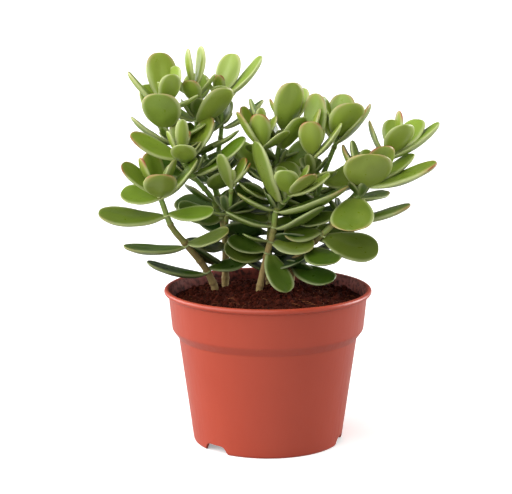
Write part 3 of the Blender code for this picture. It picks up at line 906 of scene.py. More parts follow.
def soil_outline():
    """Crowned top in short steps, then the hidden sides and underside."""
    slope = (SHOULDER_RADIUS - FOOT_RADIUS) / SHOULDER_HEIGHT
    shares = [number / SOIL_STEPS for number in range(SOIL_STEPS + 1)]
    return (
        *[(SOIL_RADIUS * share, SOIL_CROWN - (SOIL_CROWN - SOIL_EDGE) * share**2.2) for share in shares],
        (COLLAR_FOOT_RADIUS - WALL - 0.05, COLLAR_FOOT_HEIGHT + 0.6),
        (SHOULDER_RADIUS - WALL - 0.05, SHOULDER_HEIGHT + 0.3),
        (FOOT_RADIUS - WALL - 1.5 + slope * FLOOR_TOP, FLOOR_TOP + 3.0),
        (FOOT_RADIUS - WALL - 2.5, FLOOR_TOP + GAP),
        (0.0, FLOOR_TOP + GAP),
    )


def soil_material(settings):
    """Peat potting compost, loose and fibrous: matt, dark where damp and paler on dry crumbs and fibres."""
    material, node, place = new_material("peat compost")
    shade = node("ShaderNodeAttribute", attribute_name="shade").outputs["Fac"]
    # Grains of about 1.2 mm.
    grains = node(NOISE, {"Vector": place, "Scale": 800.0, "Detail": 4.0, "Roughness": 0.7})
    mixed = node(MATH, (grains, 1.1, shade), operation="MULTIPLY_ADD")
    colour = settings.colour_damp
    for start, end, over in ((0.45, 1.75, settings.colour_dry), (1.5, 2.2, settings.colour_fibre)):
        dryness = node(RANGE, {"Value": mixed, "From Min": start, "From Max": end})
        colour = node(MIX, {"Factor": dryness, "A": colour, "B": over}, data_type="RGBA")
    return finish_material(material, {
        "Base Color": colour,
        "Normal": node(BUMP, {"Strength": 0.9, "Distance": 0.0006, "Height": grains}),
        "Roughness": 0.95,
        "Specular IOR Level": 0.1,
    })


class JadeSoilSettings(bpy.types.PropertyGroup):
    colour_damp: swatch("Damp peat", "Colour of the dark peat", "#280903")
    colour_dry: swatch("Dry peat", "Colour of the dry crumbs", "#4E1C0E")
    colour_fibre: swatch("Fibres", "Colour of the pale fibres", "#8C5838")
    lumps: measure("Lump height", "How far the surface rises and falls", 0.006, 0.0, 0.012)
    crumb: measure("Crumb size", "Width of a middling crumb", 0.0026, 0.001, 0.006)
    crumb_density: FloatProperty(
        name="Crumbs", description="Crumbs in a square metre", default=210000.0, min=0.0, max=400000.0,
    )
    fibre: measure("Fibre length", "Length of a middling fibre", 0.008, 0.002, 0.02)
    fibre_density: FloatProperty(
        name="Fibres", description="Fibres in a square metre", default=32000.0, min=0.0, max=80000.0,
    )
    seed: IntProperty(name="Seed", description="Picks another strewing", default=4, min=0)


class JADE_OT_soil(bpy.types.Operator):
    """Fill the pot with crumbly peat"""

    bl_idname = "jade.soil"
    bl_label = "Make Soil"

    def execute(self, context):
        settings = context.scene.jade_soil
        mesh = run_tree(turned("soil_turning", soil_outline()), soil_tree(), {
            "Edge": SOIL_RADIUS * MM,
            "Roughness Height": settings.lumps,
            "Crumb Size": settings.crumb,
            "Crumb Density": settings.crumb_density,
            "Fibre Length": settings.fibre,
            "Fibre Density": settings.fibre_density,
            "Seed": settings.seed,
            "Peat": soil_material(settings),
        })
        finish_piece("peat_soil", mesh, ["soil"])
        return {"FINISHED"}


# Stems.


def stem_tree():
    """A tube along the stem's route with ring-shaped leaf scars and a slightly uneven bark."""
    tree, node, given = new_tree("Jade stem", {
        "Geometry": "Geometry",
        "Ring Spacing": "Float",
        "Ring Height": "Float",
        "Bark Height": "Float",
        "Bark": "Material",
    })
    even = node("GeometryNodeResampleCurve", {"Curve": given["Geometry"], "Length": 0.0007}, mode="LENGTH")
    run = node("GeometryNodeSplineParameter").outputs["Length"]
    waver = node(NOISE, {"W": run, "Scale": 60.0}, noise_dimensions="1D")
    shifted = node(MATH, (waver, 0.006, run), operation="MULTIPLY_ADD")
    turns = node(MATH, (shifted, given["Ring Spacing"]), operation="DIVIDE")
    part = node(MATH, (turns, 1.0), operation="PINGPONG")
    ridge = node(
        RANGE, {"Value": part, "From Min": 0.82, "From Max": 1.0}, interpolation_type="SMOOTHSTEP",
    )
    radius = node("GeometryNodeInputRadius")
    swollen = node(MATH, (ridge, given["Ring Height"], radius), operation="MULTIPLY_ADD")
    curve = node(STORE, {"Geometry": even, "Name": "ring", "Value": ridge})
    section = node("GeometryNodeCurvePrimitiveCircle", {"Resolution": 18, "Radius": 1.0})
    tube = node(
        "GeometryNodeCurveToMesh",
        {"Curve": curve, "Profile Curve": section, "Scale": swollen, "Fill Caps": True},
    )
    place = node("GeometryNodeInputPosition")
    rough = node(NOISE, {"Vector": place, "Scale": 260.0, "Detail": 3.0})
    level = node(MATH, (rough, 0.5), operation="SUBTRACT")
    depth = node(MATH, (level, given["Bark Height"]), operation="MULTIPLY")
    push = node(VECTOR, {0: node("GeometryNodeInputNormal"), "Scale": depth}, operation="SCALE")
    tube = node("GeometryNodeSetPosition", {"Geometry": tube, "Offset": push})
    tube = node("GeometryNodeSetShadeSmooth", {"Geometry": tube})
    end_tree(node, tube, given["Bark"])
    return tree


def stem_curve(shoot, stem):
    """The stem's route, with its crown's tapering tip, as a curve in metres."""
    length = stem.lengths[-1]
    count = max(8, round(length / 2.0))
    places = [stem.place_at(length * number / count) for number in range(count + 1)]
    top, along, radius = places[-1]
    for share, narrow in TIP_TAPER:
        places.append((top + along * (shoot.crown_height * share), along, radius * narrow))
    if shoot.parent:
        foot, along, radius = places[0]
        places.insert(0, (foot - along * FORK_OVERLAP, along, radius * FORK_FLARE))
    data = bpy.data.curves.new(shoot.name, "CURVE")
    data.dimensions = "3D"
    spline = data.splines.new("POLY")
    spline.points.add(len(places) - 1)
    for point, (where, _, radius) in zip(spline.points, places):
        point.co = (*(where * MM), 1.0)
        point.radius = radius * MM
    return link_object(f"route_{shoot.name}", data)


def stem_material(settings):
    """Succulent jade stem: green skin when young, tan corky bark with leaf-scar rings low down."""
    material, node, place = new_material("jade stem bark")
    height = node("ShaderNodeSeparateXYZ", (place,)).outputs["Z"]
    ring = node("ShaderNodeAttribute", attribute_name="ring").outputs["Fac"]
    # Cork patches are a few millimetres wide, drawn out along the stem.
    upright = node("ShaderNodeMapping", {"Vector": place, "Scale": (1.0, 1.0, 0.4)})
    cork = node(NOISE, {"Vector": upright, "Scale": 330.0, "Detail": 4.0, "Roughness": 0.6})
    fine = node(NOISE, {"Vector": upright, "Scale": 1500.0, "Detail": 3.0})
    age = node(
        RANGE, {"Value": height, "From Min": settings.bark_top, "From Max": settings.bark_foot},
    )
    patchy = node(MATH, (cork, 0.9, age), operation="MULTIPLY_ADD")
    old = node(
        RANGE, {"Value": patchy, "From Min": 0.55, "From Max": 1.15}, interpolation_type="SMOOTHSTEP",
    )
    value = {"scar": node(MATH, (ring, 0.55), operation="MULTIPLY")}
    for name, factor, under, over in (
        ("bark", fine, settings.colour_bark, settings.colour_cork),
        ("green", cork, settings.colour_young, settings.colour_green),
        ("skin", old, "green", "bark"),
        ("colour", value["scar"], "skin", settings.colour_scar),
    ):
        sides = [value[side] if isinstance(side, str) else side for side in (under, over)]
        value[name] = node(MIX, {"Factor": factor, "A": sides[0], "B": sides[1]}, data_type="RGBA")
    relief = node(MATH, (cork, fine), operation="ADD")
    return finish_material(material, {
        "Base Color": value["colour"],
        "Roughness": node(RANGE, {"Value": old, "To Min": 0.42, "To Max": 0.85}),
        "Normal": node(BUMP, {"Strength": 0.5, "Distance": 0.0003, "Height": relief}),
        "Subsurface Weight": 0.08,
        "Subsurface Radius": (0.7, 1.0, 0.3),
        "Subsurface Scale": 0.001,
    })


class JadeStemSettings(bpy.types.PropertyGroup):
    colour_young: swatch("Young skin", "Colour of the soft tips", "#88A24C")
    colour_green: swatch("Green skin", "Colour of the green stems", "#6A8636")
    colour_bark: swatch("Bark", "Colour of the old bark", "#7A6638")
    colour_cork: swatch("Cork", "Colour of the dry cork", "#A08A58")
    colour_scar: swatch("Leaf scars", "Colour of the rings", "#6E5530")
    ring_spacing: measure("Ring spacing", "Distance between leaf scars", 0.0085, 0.003, 0.03)
    ring_height: measure("Ring height", "How far a leaf scar stands out", 0.00035, 0.0, 0.001)
    bark_foot: measure("Bark foot", "Below this height a stem is all bark", 0.085, 0.0, 0.3)
    bark_top: measure("Bark top", "Above this height a stem is all green", 0.150, 0.0, 0.3)


class JADE_OT_stems(bpy.types.Operator):
    """Grow the stems along their routes"""

    bl_idname = "jade.stems"
    bl_label = "Make Stems"

    def execute(self, context):
        settings = context.scene.jade_stem
        tree = stem_tree()
        bark = stem_material(settings)
        stems = grow_stems()
        for shoot in SHOOTS:
            mesh = run_tree(stem_curve(shoot, stems[shoot.name]), tree, {
                "Ring Spacing": settings.ring_spacing,
                "Ring Height": settings.ring_height,
                "Bark Height": BARK_RELIEF * MM,
                "Bark": bark,
            })
            finish_piece(f"jade_stem_{shoot.name}", mesh, [f"stem_{shoot.name}"])
        return {"FINISHED"}


# Leaves.


def blade_outline(share):
    """Half width of a blade as a share of its widest; the share runs round the blade's long way."""
    along = 0.5 * (1.0 - math.cos(math.pi * share))
    tip_power = BLADE_FULLNESS * (1.0 - WIDEST) / WIDEST
    peak = WIDEST**BLADE_FULLNESS * (1.0 - WIDEST) ** tip_power
    outline = along**BLADE_FULLNESS * (1.0 - along) ** tip_power / peak
    base = BASE_WIDTH * min(1.0, share / 0.06) * (1.0 - along)
    return (outline**4 + base**4) ** 0.25


def blade_flesh(share):
    """Half thickness of a blade as a share of its thickest."""
    return math.sin(math.pi * share) ** 0.8


def drawn(curve, shape, count):
    """Draws a shape function on a curve node, through even samples of it."""
    line = curve.mapping.curves[0]
    for number in range(1, count):
        line.points.new(number / count, shape(number / count))
    line.points[0].location = (0.0, shape(0.0))
    line.points[-1].location = (1.0, shape(1.0))
    curve.mapping.update()
    return curve


def foliage_tree():
    """Bends a round blade from each leaf foot, and puts a thin sheath round the stem at each pair."""
    tree, node, value = new_tree("Jade foliage", {
        "Geometry": "Geometry",
        "Curl": "Float",
        "Cup": "Float",
        "Thickness Share": "Float",
        "Least Thickness": "Float",
        "Leaf": "Material",
    })
    for name in ("is_blade", "heading", "rise", "span", "breadth", "roll", "claw", "sway", "wave"):
        value[name] = node("GeometryNodeInputNamedAttribute", {"Name": name})
    cell, foot, axis = [
        node("GeometryNodeInputNamedAttribute", {"Name": name}, data_type="FLOAT_VECTOR")
        for name in ("cell", "foot", "axis")
    ]
    place = node("GeometryNodeInputPosition")
    split = node(
        "GeometryNodeSeparateGeometry",
        {"Geometry": value["Geometry"], "Selection": value["is_blade"]},
    )
    feet = node(
        STORE, {"Geometry": split.outputs["Selection"], "Name": "foot", "Value": place},
        data_type="FLOAT_VECTOR",
    )
    feet = node("GeometryNodeMeshToPoints", {"Mesh": feet})
    ball = node("GeometryNodeMeshUVSphere", {"Segments": 24, "Rings": 24, "Radius": 1.0})
    ball = node(
        STORE, {"Geometry": ball.outputs["Mesh"], "Name": "cell", "Value": place},
        data_type="FLOAT_VECTOR",
    )
    blades = node(SCATTER, {"Points": feet, "Instance": ball})
    blades = node(REALIZE, {"Geometry": blades})
    parts = node("ShaderNodeSeparateXYZ", (cell,)).outputs
    flat = node("ShaderNodeCombineXYZ", {"X": parts["X"], "Y": parts["Y"]})
    value["radius"] = node(VECTOR, (flat,), operation="LENGTH").outputs["Value"]
    # Where a point is on its blade: along it, across it, and on the upper or the under face.
    for name, operation, *terms in (
        ("ring", "MAXIMUM", "radius", 0.001),
        ("side", "DIVIDE", parts["X"], "ring"),
        ("face", "DIVIDE", parts["Y"], "ring"),
        ("polar", "ARCCOSINE", parts["Z"]),
        ("round", "DIVIDE", "polar", math.pi),
        ("whole", "MULTIPLY_ADD", parts["Z"], -0.5, 0.5),
        ("back", "DIVIDE", "claw", "span"),
        ("more", "ADD", "back", 1.0),
        ("scaled", "MULTIPLY", "whole", "more"),
        ("share", "SUBTRACT", "scaled", "back"),
        ("blade", "MAXIMUM", "share", 0.0),
        ("root", "MINIMUM", "share", 0.0),
        ("phase", "MULTIPLY", "wave", 40.0),
    ):
        value[name] = node(MATH, [value.get(term, term) for term in terms], operation=operation)
    for name, shape, count in (("outline", blade_outline, 24), ("flesh", blade_flesh, 16)):
        value[name] = drawn(node("ShaderNodeFloatCurve", {"Value": value["round"]}), shape, count)
    at = node("ShaderNodeCombineXYZ", (value["blade"], value["side"], value["phase"]))
    value["ripple"] = node(NOISE, {"Vector": at, "Scale": 1.6, "Detail": 1.0})
    # Width, thickness and bend there.
    for name, operation, *terms in (
        ("wide", "MULTIPLY", "span", "breadth"),
        ("wide", "MULTIPLY", "wide", 0.5),
        ("half width", "MULTIPLY", "wide", "outline"),
        ("thick", "MULTIPLY_ADD", "span", "Thickness Share", "Least Thickness"),
        ("half thick", "MULTIPLY", "thick", "flesh"),
        # The upper face is a little flatter than the under face.
        ("flatter", "MULTIPLY_ADD", "face", -0.12, 1.0),
        ("plump", "MULTIPLY", "face", "flatter"),
        ("lift", "MULTIPLY", "plump", "half thick"),
        ("square", "MULTIPLY", "side", "side"),
        ("bowl", "MULTIPLY", "square", "half width"),
        ("lift", "MULTIPLY_ADD", "bowl", "Cup", "lift"),
        # A slow ripple makes each blade its own.
        ("ripple", "SUBTRACT", "ripple", 0.5),
        ("ripple", "MULTIPLY", "ripple", "half width"),
        ("lift", "MULTIPLY_ADD", "ripple", 0.32, "lift"),
        ("across", "MULTIPLY", "side", "half width"),
        ("bend", "MULTIPLY", "blade", "blade"),
        ("bend", "MULTIPLY", "bend", "sway"),
        ("across", "MULTIPLY_ADD", "bend", "span", "across"),
        # The middle line rises, curling upward.
        ("start", "MULTIPLY_ADD", "Curl", -0.5, "rise"),
        ("angle", "MULTIPLY_ADD", "blade", "Curl", "start"),
        ("tilt", "MULTIPLY", "angle", -1.0),
        ("bow", "DIVIDE", "span", "Curl"),
        ("sine on", "SINE", "angle"),
        ("sine", "SINE", "start"),
        ("cosine", "COSINE", "start"),
        ("cosine on", "COSINE", "angle"),
        ("ahead", "SUBTRACT", "sine on", "sine"),
        ("above", "SUBTRACT", "cosine", "cosine on"),
        ("inward", "MULTIPLY", "root", "span"),
        ("out", "MULTIPLY_ADD", "bow", "ahead", "inward"),
        ("up", "MULTIPLY", "bow", "above"),
        # How far a point is from the blade's edge.
        ("aside", "ABSOLUTE", "side"),
        ("inside", "SUBTRACT", 1.0, "aside"),
        ("rim", "MULTIPLY", "inside", "half width"),
    ):
        value[name] = node(MATH, [value.get(term, term) for term in terms], operation=operation)
    middle = node("ShaderNodeCombineXYZ", {"X": value["out"], "Z": value["up"]})
    where = node("ShaderNodeCombineXYZ", {"Y": value["across"], "Z": value["lift"]})
    for turn, around, shift in (
        ("roll", "X_AXIS", None),
        ("tilt", "Y_AXIS", middle),
        ("heading", "Z_AXIS", foot),
    ):
        where = node("ShaderNodeVectorRotate", {"Vector": where, "Angle": value[turn]}, rotation_type=around)
        if shift:
            where = node(VECTOR, (shift, where), operation="ADD")
    # What the leaf's colours follow.
    for name, source in (("along", "blade"), ("rim", "rim"), ("face", "face")):
        blades = node(STORE, {"Geometry": blades, "Name": name, "Value": value[source]})
    blades = node("GeometryNodeSetPosition", {"Geometry": blades, "Position": where})
    blades = node("GeometryNodeFlipFaces", {"Mesh": blades})
    # Sheaths.
    hoops = node("GeometryNodeMeshToPoints", {"Mesh": split.outputs["Inverted"]})
    circle = node("GeometryNodeCurvePrimitiveCircle", {"Resolution": 24, "Radius": 1.0})
    section = node("GeometryNodeCurvePrimitiveCircle", {"Resolution": 10, "Radius": 0.3})
    hoop = node("GeometryNodeCurveToMesh", {"Curve": circle, "Profile Curve": section})
    lean = node("FunctionNodeAlignRotationToVector", {"Vector": axis}, axis="Z")
    sheaths = node(SCATTER, {"Points": hoops, "Instance": hoop, "Rotation": lean, "Scale": value["span"]})
    sheaths = node(REALIZE, {"Geometry": sheaths})
    whole = node("GeometryNodeJoinGeometry", {"Geometry": [blades, sheaths]})
    whole = node("GeometryNodeSetShadeSmooth", {"Geometry": whole})
    end_tree(node, whole, value["Leaf"])
    return tree


def leaf_row(leaf, foot, claw, youth, chance):
    """One leaf foot's place and attributes, in metres and radians."""
    light = min(1.0, max(0.0, (foot.z - PAINTED_SHADE_HEIGHT) / (UNSHADED_HEIGHT - PAINTED_SHADE_HEIGHT)))
    return {
        "foot": foot * MM,
        "axis": Vector((0.0, 0.0, 1.0)),
        "is_blade": 1.0,
        "heading": math.radians(leaf.heading),
        "rise": math.radians(leaf.rise),
        "span": leaf.length * MM,
        "breadth": leaf.broad,
        "roll": math.radians(leaf.roll),
        "claw": claw * MM,
        "sway": chance.uniform(-0.05, 0.05),
        "wave": chance.random(),
        "tone": min(1.0, max(0.0, chance.gauss(0.6, 0.25))),
        # Painted shade: none on high leaves, the most on low ones.
        "shade": DEEPEST_PAINTED_SHADE * (1.0 - light),
        "blush": max(0.0, min(1.0, 2.4 * chance.random() - 0.9)) * (0.1 + 0.9 * youth),
        "youth": youth,
    }


def sheath_row(centre, along, reach, youth, chance):
    """One sheath's place and attributes; its span is the radius of the ring."""
    row = leaf_row(Leaf(0.0, 0.0, reach), centre, 0.0, youth, chance)
    row.update(is_blade=0.0, axis=along, blush=0.0, tone=0.5)
    return row


def filler_pairs(shoot, chance):
    """The plant's small leaves: pairs between the main ones of a crowded stem, and axil buds."""
    fillers = []
    height = shoot.route[0][2] + CROWD_START
    turn = chance.uniform(0.0, 90.0)
    while shoot.name in CROWDED and height < shoot.pairs[-1].height - CROWD_END:
        if min(abs(height - pair.height) for pair in shoot.pairs) > CROWD_CLEAR:
            length = chance.uniform(*(CROWD_LONG if height < CROWD_SHORT_HEIGHT else CROWD_SHORT))
            fillers.append(Pair(height, tuple(
                Leaf(
                    turn + half + chance.uniform(*CROWD_SWING), chance.uniform(*CROWD_RISE), length,
                    chance.uniform(*CROWD_BROAD), chance.uniform(*CROWD_ROLL),
                )
                for half in (0.0, 180.0)
            )))
        height += CROWD_STEP
        turn += 90.0
    for pair in shoot.pairs if shoot.parent else shoot.pairs[BARE_PAIRS:]:
        for leaf in pair.leaves:
            for aside in (-BUD_ASIDE, BUD_ASIDE):
                heading = leaf.heading + aside + chance.uniform(*BUD_SWING)
                shape = [chance.uniform(*span) for span in (BUD_RISE, BUD_LENGTH, BUD_BROAD, BUD_ROLL)]
                fillers.append(Pair(pair.height + BUD_ABOVE, (Leaf(heading, *shape),)))
    return fillers


def foliage_rows(shoot, stem, chance):
    """The leaf feet and sheaths of one stem's pairs and crown."""
    rows = []
    for pair in filler_pairs(shoot, chance):
        centre, along, radius = stem.place_at_height(pair.height)
        for leaf in pair.leaves:
            foot = leaf_foot(centre, along, radius, leaf.heading)
            row = leaf_row(leaf, foot, 0.6, 0.0, chance)
            # Filler leaves inside the plant get extra painted shade.
            row["shade"] = min(1.0, row["shade"] + INNER_PAINTED_SHADE)
            rows.append(row)
    for number, pair in enumerate(shoot.pairs):
        centre, along, radius = stem.place_at_height(pair.height)
        inner = (radius + GAP) / math.cos(math.pi / SHEATH_SIDES)
        reach = inner + SHEATH_THICK - 0.2
        youth = 0.5 * number / len(shoot.pairs)
        rows.append(sheath_row(centre, along, radius + 0.1, youth, chance))
        for leaf in pair.leaves:
            foot = leaf_foot(centre, along, reach, leaf.heading)
            rows.append(leaf_row(leaf, foot, reach - radius + 0.6, youth, chance))
    last = stem.lengths[-1]
    top, along, radius = stem.place_at(last)
    start = top + along * GAP
    for number, pair in enumerate(shoot.crown):
        youth = 0.5 + 0.5 * (number + 1) / len(shoot.crown)
        place = start + along * pair.height
        narrow = radius * (1.0 - 0.4 * pair.height / shoot.crown_height)
        rows.append(sheath_row(place, along, narrow, youth, chance))
        for leaf in pair.leaves:
            foot = leaf_foot(place, along, 0.3 * radius, leaf.heading)
            rows.append(leaf_row(leaf, foot, 0.3, youth, chance))
    return rows


def feet_object(name, rows):
    """Loose points that carry the rows' attributes."""
    mesh = bpy.data.meshes.new(name)
    mesh.from_pydata([row["foot"] for row in rows], [], [])
    for label in rows[0]:
        if label != "foot":
            kind, part = ("FLOAT_VECTOR", "vector") if label == "axis" else ("FLOAT", "value")
            layer = mesh.attributes.new(label, kind, "POINT")
            for item, row in zip(layer.data, rows):
                setattr(item, part, row[label])
    return link_object(name, mesh)


def leaf_material(settings):
    """Crassula leaf, thick and water-filled under a smooth waxy cuticle: a soft broad sheen, a little
    light through the flesh, tiny pale dots, and a red-brown margin where the sun has caught the tip."""
    material, node, place = new_material("waxy jade leaf")
    value = {
        name: node("ShaderNodeAttribute", attribute_name=name).outputs["Fac"]
        for name in ("tone", "shade", "blush", "youth", "wave", "along", "rim", "face")
    }
    # Clouds of about 9 mm vary the green, blots of 4 mm break the red, and wax lies in 3 mm patches.
    for name, scale, detail in (("cloud", 110.0, 3.0), ("blot", 240.0, 2.0), ("wax", 320.0, 3.0)):
        value[name] = node(NOISE, {"Vector": place, "Scale": scale, "Detail": detail})
    # Water pores are about 0.2 mm wide and 1.3 mm apart; they are drawn a little large to show.
    value["pores"] = node("ShaderNodeTexVoronoi", {"Vector": place, "Scale": 760.0})
    value["cloudy"] = node(MATH, (value["cloud"], 0.9, value["tone"]), operation="MULTIPLY_ADD")
    margin = settings.margin
    rough = settings.roughness
    for name, source, start, end, low, high, blend in (
        ("tone", "cloudy", 0.45, 1.45, 0.0, 1.0, "LINEAR"),
        # Some leaves are a grass green and some lean to olive.
        ("lean", "wave", 0.35, 0.9, 0.0, 1.0, "LINEAR"),
        ("base", "along", 0.32, 0.0, 0.0, 0.55, "SMOOTHSTEP"),
        ("under", "face", 0.1, -0.4, 0.0, 0.35, "LINEAR"),
        ("dots", "pores", 0.26, 0.12, 0.0, 0.22, "LINEAR"),
        # The flesh thins to a pale translucent margin all round; its pale colour is partly the leaf's own
        # and partly a painted highlight along the edges.
        ("pale", "rim", 2.0 * margin, 0.1 * margin, 0.0, 0.65, "SMOOTHSTEP"),
        # Sun bronzes the outer few millimetres near the tip and reddens the very edge.
        ("halo", "rim", 3.5 * margin, 0.0, 0.0, 0.7, "SMOOTHSTEP"),
        ("edge", "rim", margin, 0.0, 0.0, 1.0, "SMOOTHSTEP"),
        ("tip", "along", 0.7, 0.92, 0.0, 1.0, "LINEAR"),
        ("blot", "blot", 0.3, 0.55, 0.0, 1.0, "LINEAR"),
        ("rough", "wax", 0.3, 0.7, rough - 0.06, rough + 0.08, "LINEAR"),
    ):
        value[name] = node(RANGE, {
            "Value": value[source], "From Min": start, "From Max": end, "To Min": low, "To Max": high,
        }, interpolation_type=blend)
    for name, operation, *terms in (
        ("fresh", "MULTIPLY", "youth", 0.75),
        # Leaves with painted shade get less of the margin's painted highlight.
        ("sunlit", "MULTIPLY_ADD", "shade", -0.7, 1.0),
        ("pale", "MULTIPLY", "pale", "sunlit"),
        ("sun", "MULTIPLY", "tip", "blush"),
        ("tan", "MULTIPLY", "halo", "sun"),
        ("red", "MULTIPLY", "edge", "sun"),
        ("red", "MULTIPLY", "red", "blot"),
        ("relief", "MULTIPLY_ADD", "dots", 0.4, "wax"),
    ):
        value[name] = node(MATH, [value.get(term, term) for term in terms], operation=operation)
    full = node(
        MIX, {"Factor": value["lean"], "A": settings.colour_mid, "B": settings.colour_olive},
        data_type="RGBA",
    )
    colour = settings.colour_deep
    for factor, over in (
        ("tone", full),
        ("fresh", settings.colour_young),
        ("base", settings.colour_base),
        ("under", settings.colour_under),
        ("dots", settings.colour_under),
        # Painted shade: low leaves and the inner filler leaves are darkened towards a deep green.
        ("shade", settings.colour_painted_shade),
        # Pale margin: partly the leaf's own colour, partly a painted highlight.
        ("pale", settings.colour_margin_highlight),
        ("tan", settings.colour_bronze),
        ("red", settings.colour_blush),
    ):
        colour = node(MIX, {"Factor": value[factor], "A": colour, "B": over}, data_type="RGBA")
    return finish_material(material, {
        "Base Color": colour,
        "Roughness": value["rough"],
        "Normal": node(BUMP, {"Strength": 0.3, "Distance": 0.0002, "Height": value["relief"]}),
        "IOR": 1.45,
        "Subsurface Weight": 0.18,
        "Subsurface Radius": (0.8, 1.0, 0.25),
        "Subsurface Scale": 0.0016,
    })


class JadeLeafSettings(bpy.types.PropertyGroup):
    colour_deep: swatch("Deep green", "Colour of the darkest old leaves", "#46680C")
    # Painted shade: low and inner leaves are darkened towards this colour.
    colour_painted_shade: swatch("Shade green", "Colour of the leaves that grew in shade", "#1E3809")
    colour_mid: swatch("Mid green", "Colour of most leaves", "#76981E")
    colour_olive: swatch("Olive green", "Colour of the leaves that lean to olive", "#8A9636")
    # Partly the margin's own colour, partly a painted highlight on leaf edges.
    colour_margin_highlight: swatch("Pale margin", "Colour of the thin edge of the flesh", "#C6CC94")
    colour_young: swatch("Young green", "Colour of the newest leaves", "#95AA3E")
    colour_base: swatch("Leaf base", "Colour near the stem", "#9AAC48")
    colour_under: swatch("Underside", "Colour of the paler under face", "#94A446")
    colour_bronze: swatch("Bronzed edge", "Colour of the wide tint inside the margin", "#A4803A")
    colour_blush: swatch("Red margin", "Colour of the sunlit margin", "#93331A")
    margin: measure("Margin width", "How far the red runs in from the edge", 0.0012, 0.0, 0.005)
    roughness: satin(0.33)
    thickness: FloatProperty(
        name="Plumpness", description="Thickness of the flesh against the CAD model's", default=1.0,
        min=0.6, max=1.3,
    )
    seed: IntProperty(
        name="Seed", description="Picks other small differences between leaves", default=12, min=0,
    )


class JADE_OT_leaves(bpy.types.Operator):
    """Grow the leaf pairs and crowns on every stem"""

    bl_idname = "jade.leaves"
    bl_label = "Make Leaves"

    def execute(self, context):
        settings = context.scene.jade_leaf
        tree = foliage_tree()
        leaf = leaf_material(settings)
        stems = grow_stems()
        chance = random.Random(settings.seed)
        for shoot in SHOOTS:
            rows = foliage_rows(shoot, stems[shoot.name], chance)
            mesh = run_tree(feet_object(f"feet_{shoot.name}", rows), tree, {
                "Curl": math.radians(CURL),
                "Cup": CUP,
                "Thickness Share": THICK_SHARE * settings.thickness,
                "Least Thickness": THICK_LEAST * settings.thickness * MM,
                "Leaf": leaf,
            })
            nodes = [f"leaves_{shoot.name}_{number + 1}" for number in range(len(shoot.pairs))]
            finish_piece(f"jade_foliage_{shoot.name}", mesh, [*nodes, f"crown_{shoot.name}"])
        return {"FINISHED"}


# Stage.


def floor_material(settings):
    """Matt white paper sweep, so even that only the soft shadow shows on it."""
    material, node, place = new_material("matt paper sweep")
    # Paper tooth of about 1 mm.
    tooth = node(NOISE, {"Vector": place, "Scale": 1000.0, "Detail": 2.0})
    # The sweep is lit apart from the plant, so it looks bright without throwing much light back up.
    seen = node("ShaderNodeLightPath").outputs["Is Camera Ray"]
    grey = (0.5, 0.5, 0.5, 1.0)
    return finish_material(material, {
        "Base Color": node(MIX, {"Factor": seen, "A": grey, "B": settings.floor_colour}, data_type="RGBA"),
        "Emission Strength": node(MATH, (seen, settings.floor_glow), operation="MULTIPLY"),
        "Emission Color": (1.0, 1.0, 1.0, 1.0),
        "Normal": node(BUMP, {"Strength": 0.05, "Distance": 0.0001, "Height": tooth}),
        "Roughness": 1.0,
        "Specular IOR Level": 0.0,
    })


class JadeStageSettings(bpy.types.PropertyGroup):
    floor_colour: swatch("Floor", "Colour of the floor", "#F8F8F7")
    floor_glow: strength("Floor glow", "Light of the sweep itself", 0.34)
    key: strength("Key light", "Strength of the soft light from the left", 3.9)
    side: strength("Side light", "Strength of the light low on the left", 1.3)
    rim: strength("Rim light", "Strength of the lights behind on both sides", 2.6)
    fill: strength("Fill light", "Strength of the light all round", 0.18)
    lens: FloatProperty(
        name="Lens", description="Focal length on a 36 mm sensor", default=124.594, min=10.0,
    )


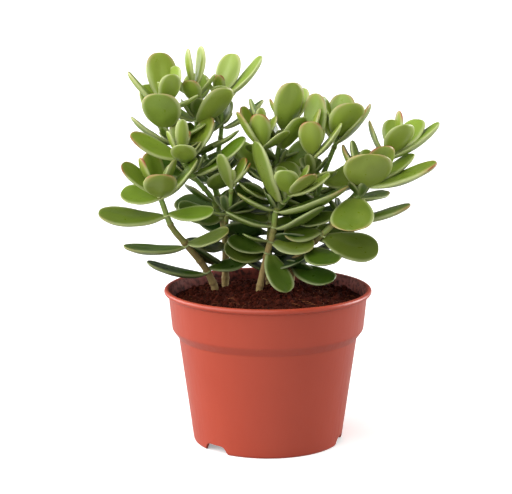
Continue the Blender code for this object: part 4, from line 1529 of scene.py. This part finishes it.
class JADE_OT_stage(bpy.types.Operator):
    """Lay the pale floor and set the soft light and the camera"""

    bl_idname = "jade.stage"
    bl_label = "Make Stage"

    def execute(self, context):
        settings = context.scene.jade_stage
        bm = bmesh.new()
        bmesh.ops.create_circle(bm, cap_ends=True, segments=96, radius=FLOOR_RADIUS)
        floor = solid_object("floor", bm)
        floor.data.materials.append(floor_material(settings))
        for name, energy, spread, tilt, turn in (
            ("key", settings.key, 95.0, 56.0, -46.0),
            ("side", settings.side, 50.0, 78.0, -78.0),
            ("rim_left", 0.8 * settings.rim, 40.0, 76.0, -118.0),
            ("rim_right", 1.4 * settings.rim, 40.0, 76.0, 112.0),
        ):
            lamp = bpy.data.lights.new(name, "SUN")
            lamp.energy = energy
            lamp.angle = math.radians(spread)
            link_object(name, lamp).rotation_euler = (math.radians(tilt), 0.0, math.radians(turn))
        world = bpy.data.worlds.new("studio")
        world.use_nodes = True
        context.scene.world = world
        tree = world.node_tree
        seen = add_node(tree, "ShaderNodeLightPath").outputs["Is Camera Ray"]
        shine = add_node(tree, RANGE, {"Value": seen, "To Min": settings.fill, "To Max": 1.0})
        back = tree.nodes["Background"].inputs
        feed(tree, back["Color"], (1.0, 1.0, 1.0, 1.0))
        feed(tree, back["Strength"], shine)
        lens = bpy.data.cameras.new("camera")
        lens.sensor_width = SENSOR
        lens.lens = settings.lens
        lens.clip_end = 50.0
        camera = link_object("camera", lens)
        camera.location = CAMERA_PLACE
        camera.rotation_euler = (math.pi / 2.0 - CAMERA_DIP, 0.0, 0.0)
        context.scene.camera = camera
        context.scene.view_settings.view_transform = "Standard"
        return {"FINISHED"}


class JADE_PT_plant(bpy.types.Panel):
    """Sizes, colours and builders of the potted jade plant"""

    bl_idname = "JADE_PT_plant"
    bl_label = "Potted Jade Plant"
    bl_space_type = "VIEW_3D"
    bl_region_type = "UI"
    bl_category = "Jade Plant"

    def draw(self, context):
        for operator, settings in STEPS:
            box = self.layout.box()
            box.operator(operator)
            group = getattr(context.scene, settings)
            for name in group.__annotations__:
                box.prop(group, name)


STEPS = (
    ("jade.stage", "jade_stage"),
    ("jade.pot", "jade_pot"),
    ("jade.soil", "jade_soil"),
    ("jade.stems", "jade_stem"),
    ("jade.leaves", "jade_leaf"),
)
GROUPS = {
    "jade_stage": JadeStageSettings,
    "jade_pot": JadePotSettings,
    "jade_soil": JadeSoilSettings,
    "jade_stem": JadeStemSettings,
    "jade_leaf": JadeLeafSettings,
}
CLASSES = (
    *GROUPS.values(), JADE_OT_stage, JADE_OT_pot, JADE_OT_soil, JADE_OT_stems, JADE_OT_leaves, JADE_PT_plant,
)


def register():
    for kind in CLASSES:
        bpy.utils.register_class(kind)
    for name, kind in GROUPS.items():
        setattr(bpy.types.Scene, name, PointerProperty(type=kind))


def unregister():
    for name in GROUPS:
        delattr(bpy.types.Scene, name)
    for kind in reversed(CLASSES):
        bpy.utils.unregister_class(kind)


def main():
    register()
    bpy.ops.jade.stage()
    bpy.ops.jade.pot()
    bpy.ops.jade.soil()
    bpy.ops.jade.stems()
    bpy.ops.jade.leaves()


if __name__ == "__main__":
    main()
